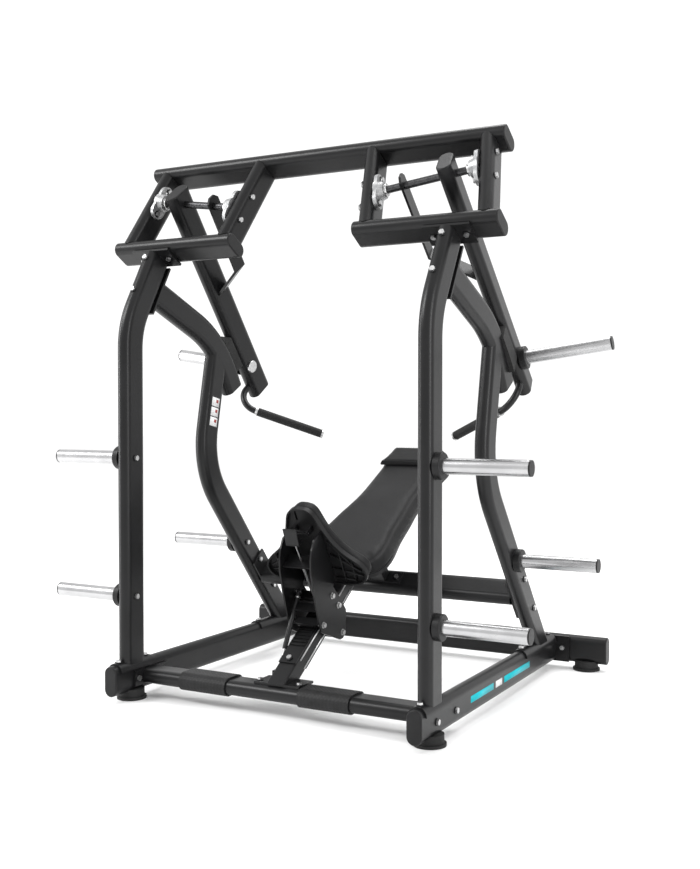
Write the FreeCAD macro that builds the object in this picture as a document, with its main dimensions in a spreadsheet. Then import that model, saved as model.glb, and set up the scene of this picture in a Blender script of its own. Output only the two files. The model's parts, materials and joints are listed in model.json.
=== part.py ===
import FreeCAD, Part
import math
import os
import Sketcher
from FreeCAD import Matrix, Placement, Rotation, Vector

# Plate-loaded lying press machine with two independent levers.
# Frame of the part: X to the right as seen from the front, Y rearward, Z up, millimetres.
# Origin: on the floor, under the middle of the machine's bounding box.

os.makedirs("parts", exist_ok=True)
doc = FreeCAD.newDocument("lying_press")

# ---------------------------------------------------------------- driving dimensions
SIZES = {
    # flat-oval frame tube
    "tube_width": 50, "tube_depth": 104, "tube_wall": 3, "cap_lip": 6, "cap_plug": 18,
    # base
    "side_x": 567, "base_z": 77.5, "rail_front_y": -658, "rail_rear_y": 576,
    "rear_bar_y": 609, "rear_bar_half": 780, "front_bar_y": -483, "front_bar_z": 73,
    "plate_thickness": 8,
    "saddle_length": 176, "rear_saddle_length": 336, "rear_saddle_y": 397, "saddle_thickness": 6,
    "foot_radius": 51, "foot_flange": 9, "foot_collar_radius": 44, "rear_foot_x": 703,
    # front uprights, beams and bearing tubes
    "upright_y": -551, "upright_knee_z": 1285, "upright_lean": 30, "upright_bend": 280,
    "beam_run": 323, "top_beam_run": 663, "beam_inner_x": 242, "beam_outer_x": 727,
    "top_beam_half": 684, "outer_tube_x": 682, "inner_tube_x": 274, "arm_lean": 9.6,
    # rear uprights and arches
    "rear_lower_lean": 40.5, "rear_upper_lean": 11.5, "rear_bend": 300,
    "rear_knee_y": -132, "rear_knee_z": 784, "rear_top_z": 1230,
    "arch_drop": 22.4, "arch_steep": 60, "arch_knee_y": -41.5, "arch_knee_z": 1258.6,
    "arch_bend": 430, "arch_end": 201,
    # upper crossbar between the rear uprights
    "cross_y": 261, "cross_z": 335,
    # seat post, rack and backrest
    "post_foot_y": -434, "post_foot_z": 128, "post_lean": 34, "post_width": 66, "post_depth": 60,
    "post_end": 530, "post_wall": 3, "rack_start": 12, "rack_length": 290, "rack_base": 4,
    "ridge_height": 4, "ridge_width": 6, "rack_pitch": 15.5, "bracket_z": 98.05,
    "back_lean": 25, "back_start_y": -159, "back_start_z": 465.5, "back_length": 836,
    "pad_thickness": 56, "pad_bevel": 26, "board_thickness": 14, "head_start": 712,
    "spine_width": 60, "spine_depth": 40, "mount_plate": 6,
    # weight horns
    "horn_radius": 24.15, "horn_wall": 3, "horn_length": 265, "load_horn_length": 295,
    "collar_radius": 41, "collar_length": 23, "front_horn_y": -556, "upper_horn_z": 834,
    "lower_horn_z": 356, "rear_horn_y": 130, "rear_horn_z": 471,
    # levers, in the lever's own frame: x along the axle, z up along the lever, y to its rear
    "axle_x": 525.7, "axle_run": 513.7, "axle_offset": -24, "lever_drop": 18.8,
    "lever_length": 881, "lever_head": 51, "axle_radius": 12.5, "running_gap": 0.05,
    "brace_x": 156, "brace_width": 58, "brace_thickness": 8, "brace_straight": 266,
    "brace_reach": 116, "load_horn_z": -743, "handle_radius": 12.5, "handle_bend": 68,
    "grip_length": 270, "grip_radius": 16.5, "stop_width": 50,
    # bearings
    "bearing_boss_radius": 33, "bearing_plate": 12, "bearing_height": 30, "bearing_bolts": 99,
    # seat carriage: s runs up along the post, n stands square to it
    "carriage_half": 57.5, "carriage_plate": 6, "lock_s": 271.4, "lock_radius": 8,
    "lock_tip_radius": 4, "lock_top": 225, "rod_radius": 3, "knob_n": 334.5,
    "seat_lean": 61.3, "seat_y": -259, "seat_z": 461, "shell_depth": 18, "shell_wall": 4,
    "cushion_thickness": 50, "paddle_y": -354, "paddle_z": 585, "paddle_width": 50,
    "gas_x": -45.5, "gas_cylinder_radius": 8.5, "gas_bore": 6.6, "gas_rod_radius": 4,
    "gas_top_y": -289, "gas_top_z": 374, "gas_low_y": -425.6, "gas_low_z": 115.9,
    "gas_cylinder_length": 205, "gas_rod_length": 200,
    # fasteners
    "bolt_radius": 5, "bolt_head_radius": 9.5, "bolt_head_height": 6.5, "washer_radius": 12,
    "washer_thickness": 2, "shank_length": 20, "drill_gap": 0.3,
}

sheet = doc.addObject("Spreadsheet::Sheet", "sizes")
for row, (alias, number) in enumerate(SIZES.items(), start=1):
    sheet.set(f"A{row}", alias)
    sheet.set(f"B{row}", str(number))
    sheet.setAlias(f"B{row}", alias)
doc.recompute()


def size(alias):
    """The plain number that the sheet holds under an alias."""
    return float(sheet.get(alias))


def sheet_value(expression):
    """The number of an expression over sheet cells."""
    return float(sheet.evalExpression(expression))


def bind(obj, prop, expression):
    """Drive a property of an object from the sheet."""
    obj.setExpression(prop, expression)


RIGHT, LEFT = 1, -1
SIDE_NAME = {RIGHT: "right", LEFT: "left"}
lean = math.radians(size("upright_lean"))
arm = math.radians(size("arm_lean"))
AXIS_X = Vector(1, 0, 0)
AXIS_Y = Vector(0, 1, 0)
AXIS_Z = Vector(0, 0, 1)
RUN = Vector(0, math.sin(lean), math.cos(lean))       # up along the leaning top of an upright
ACROSS = Vector(0, math.cos(lean), -math.sin(lean))   # long axis of a section there, rearward
KNEE = Vector(0, size("upright_y"), size("upright_knee_z"))


# ---------------------------------------------------------------- helpers
def frame_at(origin, z_axis, y_hint):
    """A placement whose z runs along z_axis and whose y lies towards y_hint."""
    z = Vector(z_axis).normalize()
    x = Vector(y_hint).cross(z).normalize()
    y = z.cross(x)
    return Placement(Matrix(x.x, y.x, z.x, origin.x,
                            x.y, y.y, z.y, origin.y,
                            x.z, y.z, z.z, origin.z,
                            0, 0, 0, 1))


def new_body(label):
    body = doc.addObject("PartDesign::Body", label)
    body.Label = label
    return body


def new_sketch(body, plane, name):
    """A sketch attached to one of the body's own origin planes, such as XY_Plane."""
    sketch = body.newObject("Sketcher::SketchObject", name)
    origin_plane = [f for f in body.Origin.OriginFeatures if f.Role == plane][0]
    sketch.AttachmentSupport = [(origin_plane, "")]
    sketch.MapMode = "FlatFace"
    return sketch


def add_slot(sketch, width, depth, name):
    """A flat-oval outline about the sketch's origin, its long axis along the sketch's y."""
    w, d = sheet_value(width), sheet_value(depth)
    r, half = w / 2, (d - w) / 2
    first = sketch.GeometryCount
    sketch.addGeometry(Part.LineSegment(Vector(r, -half), Vector(r, half)))
    sketch.addGeometry(Part.ArcOfCircle(Part.Circle(Vector(0, half), AXIS_Z, r), 0, math.pi))
    sketch.addGeometry(Part.LineSegment(Vector(-r, half), Vector(-r, -half)))
    sketch.addGeometry(Part.ArcOfCircle(Part.Circle(Vector(0, -half), AXIS_Z, r), math.pi, 2 * math.pi))
    side_a, top, side_b, bottom = range(first, first + 4)
    sketch.addConstraint(Sketcher.Constraint("Tangent", side_a, 2, top, 1))
    sketch.addConstraint(Sketcher.Constraint("Tangent", top, 2, side_b, 1))
    sketch.addConstraint(Sketcher.Constraint("Tangent", side_b, 2, bottom, 1))
    sketch.addConstraint(Sketcher.Constraint("Tangent", bottom, 2, side_a, 1))
    sketch.addConstraint(Sketcher.Constraint("PointOnObject", top, 3, -2))
    sketch.addConstraint(Sketcher.Constraint("Symmetric", top, 3, bottom, 3, -1, 1))
    radius = sketch.addConstraint(Sketcher.Constraint("Radius", top, r))
    spread = sketch.addConstraint(Sketcher.Constraint("Distance", top, 3, bottom, 3, 2 * half))
    sketch.renameConstraint(radius, f"{name}_radius")
    sketch.renameConstraint(spread, f"{name}_spread")
    bind(sketch, f"Constraints.{name}_radius", f"({width}) / 2")
    bind(sketch, f"Constraints.{name}_spread", f"({depth}) - ({width})")


def section_sketch(body, width, depth, wall):
    """The hollow flat-oval section on the body's XY plane."""
    sketch = new_sketch(body, "XY_Plane", "section")
    add_slot(sketch, width, depth, "outer")
    add_slot(sketch, f"{width} - 2 * {wall}", f"{depth} - 2 * {wall}", "inner")
    return sketch


def straight_tube(label, length, placement, width="sizes.tube_width", depth="sizes.tube_depth",
                  wall="sizes.tube_wall"):
    """A flat-oval tube along the placement's z, its long axis along the placement's y."""
    body = new_body(label)
    sketch = section_sketch(body, width, depth, wall)
    pad = body.newObject("PartDesign::Pad", "run")
    pad.Profile = sketch
    bind(pad, "Length", length)
    body.Placement = placement
    return body


def path_points(first, second, radius, turn):
    """Bend start, bend end, bend centre and end of a path that leaves along +y and turns towards +x."""
    setback = radius * math.tan(abs(turn) / 2)
    corner = Vector(0, first)
    out = Vector(math.sin(turn), math.cos(turn))
    bend_start = corner - Vector(0, setback)
    bend_end = corner + out * setback
    centre = bend_start + Vector(math.copysign(radius, turn), 0)
    return bend_start, bend_end, centre, corner + out * second


def path_sketch(body, first, second, radius, turn):
    """Straight run, tangent arc, straight run, in the body's YZ plane."""
    sketch = new_sketch(body, "YZ_Plane", "path")
    angle = math.radians(sheet_value(turn))
    r = sheet_value(radius)
    start, finish, centre, end = path_points(sheet_value(first), sheet_value(second), r, angle)
    lengths = (start.Length, (end - finish).Length)
    sketch.addGeometry(Part.LineSegment(Vector(0, 0), start))
    arc_start, arc_end = (math.pi - angle, math.pi) if angle > 0 else (0, -angle)
    sketch.addGeometry(Part.ArcOfCircle(Part.Circle(centre, AXIS_Z, r), arc_start, arc_end))
    sketch.addGeometry(Part.LineSegment(finish, end))
    near, far = (2, 1) if angle > 0 else (1, 2)
    sketch.addConstraint(Sketcher.Constraint("Coincident", 0, 1, -1, 1))
    sketch.addConstraint(Sketcher.Constraint("Vertical", 0))
    sketch.addConstraint(Sketcher.Constraint("Tangent", 0, 2, 1, near))
    sketch.addConstraint(Sketcher.Constraint("Tangent", 1, far, 2, 1))
    bend = sketch.addConstraint(Sketcher.Constraint("Radius", 1, r))
    sketch.renameConstraint(bend, "bend")
    bind(sketch, "Constraints.bend", radius)
    setback = f"({radius}) * tan(abs({turn}) * 1deg / 2)"
    for line, name, expression, length in ((0, "first", first, lengths[0]),
                                           (2, "second", second, lengths[1])):
        index = sketch.addConstraint(Sketcher.Constraint("Distance", line, length))
        sketch.renameConstraint(index, name)
        bind(sketch, f"Constraints.{name}", f"({expression}) - {setback}")
    turned = sketch.addConstraint(Sketcher.Constraint("Angle", 0, 2, 2, 1, math.pi - angle))
    sketch.setDriving(turned, False)
    sketch.addConstraint(Sketcher.Constraint("DistanceX", -1, 1, 2, 2, end.x))
    return sketch


def bent_tube(label, first, second, radius, turn, placement, section=None):
    """A tube swept along a path of two straight runs and one bend."""
    body = new_body(label)
    profile = section(body) if section else section_sketch(body, "sizes.tube_width",
                                                          "sizes.tube_depth", "sizes.tube_wall")
    path = path_sketch(body, first, second, radius, turn)
    doc.recompute()
    pipe = body.newObject("PartDesign::AdditivePipe", "sweep")
    pipe.Profile = profile
    pipe.Spine = (path, ["Edge1", "Edge2", "Edge3"])
    body.Placement = placement
    return body


def solid_section(grow):
    """A maker of the frame tube's outline as a filled section, larger all round by a little."""
    def make(body):
        sketch = new_sketch(body, "XY_Plane", "section")
        add_slot(sketch, f"sizes.tube_width + 2 * {grow}", f"sizes.tube_depth + 2 * {grow}", "outer")
        return sketch
    return make


def round_section(radius):
    """A maker of a solid round section."""
    def make(body):
        sketch = new_sketch(body, "XY_Plane", "section")
        sketch.addGeometry(Part.Circle(Vector(0, 0), AXIS_Z, sheet_value(radius)))
        sketch.addConstraint(Sketcher.Constraint("Coincident", 0, 3, -1, 1))
        index = sketch.addConstraint(Sketcher.Constraint("Radius", 0, sheet_value(radius)))
        sketch.renameConstraint(index, "girth")
        bind(sketch, "Constraints.girth", radius)
        return sketch
    return make


def cylinder(label, radius, height, placement):
    """A round bar along the placement's z."""
    obj = doc.addObject("Part::Cylinder", label)
    bind(obj, "Radius", radius)
    bind(obj, "Height", height)
    obj.Placement = placement
    return obj


def block(label, length, width, height, placement):
    """A box centred on the placement in x and y, standing on its z."""
    obj = doc.addObject("Part::Box", label)
    bind(obj, "Length", length)
    bind(obj, "Width", width)
    bind(obj, "Height", height)
    half = Placement(Vector(-sheet_value(length) / 2, -sheet_value(width) / 2, 0), Rotation())
    obj.Placement = placement.multiply(half)
    return obj


def cut(label, base, tool):
    obj = doc.addObject("Part::Cut", label)
    obj.Base = base
    obj.Tool = tool
    return obj


def fuse(label, shapes):
    obj = doc.addObject("Part::MultiFuse", label)
    obj.Shapes = shapes
    return obj


def group(label, members):
    """Separate solids under one name."""
    obj = doc.addObject("Part::Compound", label)
    obj.Links = members
    return obj


def ring(label, outer, inner, length, placement):
    """A round sleeve along the placement's z."""
    body = cylinder(f"{label}_outer", outer, length, placement)
    hole = cylinder(f"{label}_hole", inner, length, placement)
    return cut(label, body, hole)


def free_shape(label, shape, placement=None):
    """A piece whose outline is a free curve."""
    obj = doc.addObject("Part::Feature", label)
    obj.Shape = shape
    obj.Placement = placement or Placement()
    return obj


def copies(label, master, placements):
    """Identical small pieces as one group of separate solids."""
    doc.recompute()
    solids = []
    for placement in placements:
        solid = master.Shape.copy()
        solid.Placement = placement
        solids.append(solid)
    return free_shape(label, Part.makeCompound(solids))


def round_edges(label, base, radius, chosen):
    """Fillet the edges of a piece that a test picks out."""
    doc.recompute()
    obj = doc.addObject("Part::Fillet", label)
    obj.Base = base
    r = sheet_value(radius)
    obj.Edges = [(i, r, r) for i, edge in enumerate(base.Shape.Edges, start=1) if chosen(edge)]
    return obj


def straight_along(direction):
    """A test for straight edges that run along a direction."""
    def test(edge):
        if not isinstance(edge.Curve, Part.Line):
            return False
        return abs(abs(edge.Curve.Direction.dot(direction)) - 1) < 1e-6
    return test


def smooth_outline(points):
    """A closed smooth curve through the points of one half, mirrored in x."""
    mirrored = [Vector(-p.x, p.y, p.z) for p in reversed(points) if abs(p.x) > 1e-6]
    curve = Part.BSplineCurve()
    curve.interpolate(points + mirrored, PeriodicFlag=True)
    return Part.Wire([curve.toShape()])


nodes = {}
bolts = []        # each bolt: place of its head, outward direction, nodes its shank goes through


def bolt_at(place, outward, *targets):
    bolts.append((Vector(place), Vector(outward).normalize(), targets))


def drilled(label, obj):
    """The piece with clearance holes for the bolts that go through it."""
    holes = []
    for index, (place, outward, targets) in enumerate(bolts):
        if label in targets:
            start = place + outward * 3
            holes.append(cylinder(f"{label}_hole_{index}", "sizes.bolt_radius + sizes.drill_gap",
                                  "sizes.shank_length + 6", frame_at(start, -outward, square_to(outward))))
    if not holes:
        return obj
    obj.Label = f"{label}_undrilled"
    return cut(label, obj, fuse(f"{label}_holes", holes) if len(holes) > 1 else holes[0])


def square_to(direction):
    """Some direction square to the given one."""
    other = AXIS_X if abs(direction.x) < 0.8 else AXIS_Z
    return direction.cross(other).normalize()


# ---------------------------------------------------------------- base
def build_base():
    """The two side rails and the front and rear crossbars."""
    half_width = size("tube_width") / 2
    for side in (LEFT, RIGHT):
        name = SIDE_NAME[side]
        start = Vector(side * size("side_x"), size("rail_front_y"), size("base_z"))
        nodes[f"base_rail_{name}"] = straight_tube(
            f"base_rail_{name}", "sizes.rail_rear_y - sizes.rail_front_y",
            frame_at(start, AXIS_Y, AXIS_Z))
        for offset in (-72, 72):
            bolt_at(Vector(side * (size("side_x") + half_width), size("front_bar_y") + offset,
                           size("front_bar_z")), Vector(side, 0, 0), f"base_rail_{name}")
    rear = Vector(-size("rear_bar_half"), size("rear_bar_y"), size("base_z"))
    nodes["rear_crossbar"] = straight_tube("rear_crossbar", "2 * sizes.rear_bar_half",
                                           frame_at(rear, AXIS_X, AXIS_Z))
    inner = size("side_x") - half_width - size("plate_thickness")
    front = Vector(-inner, size("front_bar_y"), size("front_bar_z"))
    nodes["front_crossbar"] = straight_tube(
        "front_crossbar", "2 * (sizes.side_x - sizes.tube_width / 2 - sizes.plate_thickness)",
        frame_at(front, AXIS_X, AXIS_Y))


def build_foot_grips():
    """Ribbed rubber sleeves on the front crossbar, for the feet."""
    sleeves = []
    for index, centre in enumerate((-280, 188)):
        start = Vector(centre - 94, size("front_bar_y"), size("front_bar_z"))
        place = frame_at(start, AXIS_X, AXIS_Y)
        body = new_body(f"sleeve_{index}")
        sketch = new_sketch(body, "XY_Plane", "section")
        add_slot(sketch, "sizes.tube_width + 12", "sizes.tube_depth + 12", "outer")
        add_slot(sketch, "sizes.tube_width + 0.1", "sizes.tube_depth + 0.1", "inner")
        pad = body.newObject("PartDesign::Pad", "run")
        pad.Profile = sketch
        bind(pad, "Length", "188")
        body.Placement = place
        sleeves.append(body)
    nodes["foot_grips"] = group("foot_grips", sleeves)


def build_feet():
    """Rubber feet whose collars are shaped to the round underside of the tubes."""
    feet = []
    rear_y = size("rear_bar_y")
    spots = [(side * size("side_x"), size("upright_y"), AXIS_Y) for side in (LEFT, RIGHT)]
    spots += [(side * size("rear_foot_x"), rear_y, AXIS_X) for side in (LEFT, RIGHT)]
    for index, (x, y, along) in enumerate(spots):
        here = Placement(Vector(x, y, 0), Rotation())
        flange = cylinder(f"foot_flange_{index}", "sizes.foot_radius", "sizes.foot_flange", here)
        collar = cylinder(f"foot_collar_{index}", "sizes.foot_collar_radius", "36", here)
        start = Vector(x, y, size("base_z")) - along * 80
        room = new_body(f"foot_room_{index}")
        sketch = new_sketch(room, "XY_Plane", "section")
        add_slot(sketch, "sizes.tube_width + 0.1", "sizes.tube_depth + 0.1", "outer")
        pad = room.newObject("PartDesign::Pad", "run")
        pad.Profile = sketch
        bind(pad, "Length", "160")
        room.Placement = frame_at(start, along, AXIS_Z)
        feet.append(cut(f"foot_{index}", fuse(f"foot_blank_{index}", [flange, collar]), room))
    nodes["foot_pads"] = group("foot_pads", feet)


def saddle(label, centre, length):
    """A half sleeve over the round top of a base rail."""
    body = new_body(label)
    sketch = new_sketch(body, "XZ_Plane", "section")
    inner = size("tube_width") / 2 + 0.05
    outer = inner + size("saddle_thickness")
    sketch.addGeometry(Part.ArcOfCircle(Part.Circle(Vector(0, 0), AXIS_Z, outer), 0, math.pi))
    sketch.addGeometry(Part.LineSegment(Vector(-outer, 0), Vector(-inner, 0)))
    sketch.addGeometry(Part.ArcOfCircle(Part.Circle(Vector(0, 0), AXIS_Z, inner), 0, math.pi))
    sketch.addGeometry(Part.LineSegment(Vector(inner, 0), Vector(outer, 0)))
    pad = body.newObject("PartDesign::Pad", "run")
    pad.Profile = sketch
    pad.Midplane = True
    bind(pad, "Length", length)
    body.Placement = Placement(centre, Rotation())
    return body


def rail_top_centre():
    """Height of the axis of the rail's round top."""
    return size("base_z") + (size("tube_depth") - size("tube_width")) / 2


# ---------------------------------------------------------------- uprights and beams
def build_front_uprights():
    top_z = rail_top_centre()
    outer = size("tube_width") / 2 + size("saddle_thickness") + 0.05
    saddles = []
    for side in (LEFT, RIGHT):
        name = SIDE_NAME[side]
        x = side * size("side_x")
        foot = Vector(x, size("upright_y"), top_z)
        blank = bent_tube(f"front_upright_{name}_blank", f"sizes.upright_knee_z - {top_z}",
                          "sizes.beam_run - sizes.tube_width / 2 - sizes.plate_thickness",
                          "sizes.upright_bend", "sizes.upright_lean",
                          Placement(foot, Rotation()))
        bar = cylinder(f"front_cope_{name}", f"{outer + 0.05}", "200",
                       frame_at(foot - AXIS_Y * 100, AXIS_Y, AXIS_Z))
        nodes[f"front_upright_{name}"] = cut(f"front_upright_{name}", blank, bar)
        saddles.append(saddle(f"front_saddle_{name}", foot, "sizes.saddle_length"))
        for offset in (-70, 70):
            bolt_at(Vector(x, foot.y + offset, top_z + outer), AXIS_Z, f"base_rail_{name}",
                    "upright_saddles")
        for front_run, back_run in ((122, 108), (258, 258)):
            place = KNEE + Vector(x, 0, 0) + RUN * front_run - ACROSS * (size("tube_depth") / 2)
            bolt_at(place, -ACROSS, f"front_upright_{name}")
            back = KNEE + Vector(x, 0, 0) + RUN * back_run + ACROSS * (size("tube_depth") / 2 + 8)
            bolt_at(back, ACROSS, f"front_upright_{name}", "flange_plates")
    return saddles


def build_rear_uprights(saddles):
    """Rear uprights: leaning forward from the rail, then bending back up under the arches."""
    low = math.radians(size("rear_lower_lean"))
    high = math.radians(size("rear_upper_lean"))
    top_z = rail_top_centre()
    outer = size("tube_width") / 2 + size("saddle_thickness") + 0.05
    drop = size("rear_knee_z") - top_z
    first = drop / math.cos(low)
    second = (size("rear_top_z") - size("rear_knee_z")) / math.cos(high)
    for side in (LEFT, RIGHT):
        name = SIDE_NAME[side]
        x = side * size("side_x")
        foot = Vector(x, size("rear_knee_y") + drop * math.tan(low), top_z)
        lean_forward = Rotation(AXIS_X, size("rear_lower_lean"))
        blank = bent_tube(f"rear_upright_{name}_blank", f"{first}", f"{second}",
                          "sizes.rear_bend", "sizes.rear_lower_lean + sizes.rear_upper_lean",
                          Placement(foot, lean_forward))
        bar = cylinder(f"rear_cope_{name}", f"{outer + 0.05}", "400",
                       frame_at(foot - AXIS_Y * 200, AXIS_Y, AXIS_Z))
        under = block(f"rear_under_{name}", "100", "400", "60",
                      Placement(foot - AXIS_Z * 55, Rotation()))
        nodes[f"rear_upright_{name}"] = (blank, [bar, under])
        middle = Vector(x, size("rear_saddle_y"), top_z)
        saddles.append(saddle(f"rear_saddle_{name}", middle, "sizes.rear_saddle_length"))
        for offset in (-148, 148):
            bolt_at(Vector(x, middle.y + offset, top_z + outer), AXIS_Z, f"base_rail_{name}",
                    "upright_saddles")
    nodes["upright_saddles"] = group("upright_saddles", saddles)


def arch_line(side):
    """Where an arch starts, how far its first run goes to the knee, and its placement."""
    drop = math.radians(size("arch_drop"))
    x = side * size("side_x")
    knee = Vector(x, size("arch_knee_y"), size("arch_knee_z"))
    back = Vector(0, -math.cos(drop), math.sin(drop))
    plate_face = KNEE + Vector(x, 0, 0) + ACROSS * (size("tube_depth") / 2 + size("plate_thickness"))
    reach = (knee - plate_face).dot(ACROSS) / (-back.dot(ACROSS)) + 40
    return plate_face, reach, frame_at(knee + back * reach, -back, AXIS_Z)


def arch_fill(label, side):
    """An arch as a filled bar, for trimming what ends against it."""
    _, reach, place = arch_line(side)
    return bent_tube(label, f"{reach}", "sizes.arch_end + 0.1", "sizes.arch_bend",
                     "sizes.arch_drop - sizes.arch_steep", place, solid_section("0.05"))


def build_arches():
    """Arched braces from the leaning front uprights down to the lever stops."""
    for side in (LEFT, RIGHT):
        name = SIDE_NAME[side]
        plate_face, reach, place = arch_line(side)
        blank = bent_tube(f"arch_{name}_blank", f"{reach}", "sizes.arch_end", "sizes.arch_bend",
                          "sizes.arch_drop - sizes.arch_steep", place)
        shorten = block(f"arch_mitre_{name}", "200", "600", "200",
                        frame_at(plate_face, -ACROSS, RUN))
        nodes[f"arch_{name}"] = cut(f"arch_{name}", blank, shorten)
        filled = arch_fill(f"arch_fill_{name}", side)
        upright, tools = nodes[f"rear_upright_{name}"]
        nodes[f"rear_upright_{name}"] = cut(f"rear_upright_{name}", upright,
                                            fuse(f"rear_trim_{name}", tools + [filled]))


def build_beams():
    """Two front beams on the uprights and one long beam at the top."""
    front_centre = KNEE + RUN * size("beam_run")
    beams = []
    for side in (LEFT, RIGHT):
        low_x = size("beam_inner_x") if side == RIGHT else -size("beam_outer_x")
        start = Vector(low_x, front_centre.y, front_centre.z)
        beams.append(straight_tube(f"front_beam_{SIDE_NAME[side]}",
                                   "sizes.beam_outer_x - sizes.beam_inner_x",
                                   frame_at(start, AXIS_X, ACROSS)))
        for offset in (-55, 55):
            face = front_centre - RUN * (size("tube_width") / 2 + size("plate_thickness"))
            place = face + Vector(side * size("side_x") + offset, 0, 0)
            bolt_at(place, -RUN, "front_beams", "flange_plates")
    nodes["front_beams"] = group("front_beams", beams)
    top_centre = KNEE + RUN * size("top_beam_run")
    start = Vector(-size("top_beam_half"), top_centre.y, top_centre.z)
    nodes["top_beam"] = straight_tube("top_beam", "2 * sizes.top_beam_half",
                                      frame_at(start, AXIS_X, ACROSS))


def beam_fill(label, run):
    """A filled bar in a beam's place, for coping the tubes that end against it."""
    body = new_body(label)
    sketch = new_sketch(body, "XY_Plane", "outline")
    add_slot(sketch, "sizes.tube_width + 0.1", "sizes.tube_depth + 4", "outer")
    pad = body.newObject("PartDesign::Pad", "run")
    pad.Profile = sketch
    bind(pad, "Length", "2 * sizes.beam_outer_x")
    start = KNEE + RUN * size(run) - AXIS_X * size("beam_outer_x")
    body.Placement = frame_at(start, AXIS_X, ACROSS)
    return body


def build_bearing_tubes():
    """Leaning tubes between the beams that carry the lever bearings, coped to the beams."""
    tubes = []
    beams = fuse("beams_filled", [beam_fill("front_beam_filled", "beam_run"),
                                  beam_fill("top_beam_filled", "top_beam_run")])
    for side in (LEFT, RIGHT):
        name = SIDE_NAME[side]
        for where in ("inner", "outer"):
            x = side * (size(f"{where}_tube_x") + size("tube_width") / 2 * math.tan(arm))
            body = new_body(f"bearing_tube_blank_{where}_{name}")
            sketch = section_sketch(body, "sizes.tube_width / cos(sizes.arm_lean * 1deg)",
                                    "sizes.tube_depth", "sizes.tube_wall")
            pad = body.newObject("PartDesign::Pad", "run")
            pad.Profile = sketch
            pad.UseCustomVector = True
            pad.Direction = Vector(-side * math.sin(arm), 0, math.cos(arm))
            pad.AlongSketchNormal = True
            bind(pad, "Length", "sizes.top_beam_run - sizes.beam_run")
            body.Placement = frame_at(KNEE + RUN * size("beam_run") + Vector(x, 0, 0), RUN, ACROSS)
            tubes.append(cut(f"bearing_tube_{where}_{name}", body, beams))
    nodes["bearing_tubes"] = group("bearing_tubes", tubes)


def build_flanges():
    """Bolted flange plates: rails, crossbars, beams and arches."""
    thick = size("plate_thickness")
    half_width = size("tube_width") / 2
    plates = []
    for side in (LEFT, RIGHT):
        name = SIDE_NAME[side]
        x = side * size("side_x")
        rear_face = Vector(x, size("rear_bar_y") - half_width, size("base_z"))
        plates.append(block(f"rail_flange_{name}", "152", "sizes.tube_depth - 6", "sizes.plate_thickness",
                            frame_at(rear_face, -AXIS_Y, AXIS_Z)))
        for offset in (-51, 51):
            bolt_at(rear_face + Vector(offset, -thick, 4), -AXIS_Y, "rear_crossbar", "flange_plates")
        inner_face = Vector(x - side * half_width, size("front_bar_y"), size("front_bar_z"))
        plates.append(block(f"front_bar_flange_{name}", "54", "176", "sizes.plate_thickness",
                            frame_at(inner_face, Vector(-side, 0, 0), AXIS_Y)))
        for offset in (-72, 72):
            bolt_at(inner_face + Vector(-side * thick, offset, 0), Vector(-side, 0, 0),
                    f"base_rail_{name}", "flange_plates")
        beam_face = KNEE + RUN * (size("beam_run") - half_width) + Vector(x, 0, 0)
        plates.append(block(f"beam_flange_{name}", "156", "92", "sizes.plate_thickness",
                            frame_at(beam_face, -RUN, ACROSS)))
        arch_face = KNEE + RUN * 190 + ACROSS * (size("tube_depth") / 2) + Vector(x, 0, 0)
        plates.append(block(f"arch_flange_{name}", "50", "196", "sizes.plate_thickness",
                            frame_at(arch_face, ACROSS, RUN)))
        low = math.radians(size("rear_lower_lean"))
        along = Vector(0, -math.sin(low), math.cos(low))
        cross_face = Vector(x - side * half_width, size("cross_y"), size("cross_z"))
        plates.append(block(f"cross_flange_{name}", "84", "188", "sizes.plate_thickness",
                            frame_at(cross_face, Vector(-side, 0, 0), along)))
        for offset in (-78, 78):
            bolt_at(cross_face + along * offset + Vector(-side * thick, 0, 0), Vector(-side, 0, 0),
                    f"rear_upright_{name}", "flange_plates")
            bolt_at(cross_face + along * offset + Vector(side * size("tube_width"), 0, 0),
                    Vector(side, 0, 0), f"rear_upright_{name}")
    nodes["flange_plates"] = group("flange_plates", plates)


def build_upper_crossbar():
    """The crossbar between the rear uprights, its section square to their lower runs."""
    low = math.radians(size("rear_lower_lean"))
    inner = size("side_x") - size("tube_width") / 2 - size("plate_thickness")
    start = Vector(-inner, size("cross_y"), size("cross_z"))
    nodes["upper_crossbar"] = straight_tube(
        "upper_crossbar", "2 * (sizes.side_x - sizes.tube_width / 2 - sizes.plate_thickness)",
        frame_at(start, AXIS_X, Vector(0, math.cos(low), math.sin(low))))


# ---------------------------------------------------------------- end caps
def cap_master(label):
    """A moulded cap: a rounded lip on the tube's end and a plug inside it."""
    body = new_body(label)
    lip_sketch = new_sketch(body, "XY_Plane", "lip")
    add_slot(lip_sketch, "sizes.tube_width", "sizes.tube_depth", "outer")
    lip = body.newObject("PartDesign::Pad", "lip_pad")
    lip.Profile = lip_sketch
    bind(lip, "Length", "sizes.cap_lip")
    plug_sketch = new_sketch(body, "XY_Plane", "plug")
    add_slot(plug_sketch, "sizes.tube_width - 2 * sizes.tube_wall - 0.4",
             "sizes.tube_depth - 2 * sizes.tube_wall - 0.4", "outer")
    plug = body.newObject("PartDesign::Pad", "plug_pad")
    plug.Profile = plug_sketch
    plug.Reversed = True
    bind(plug, "Length", "sizes.cap_plug")
    body.Tip = plug
    return round_edges(f"{label}_rounded", body, "sizes.cap_lip - 1.5",
                       lambda edge: edge.BoundBox.ZMin > size("cap_lip") - 1e-4)


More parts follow.
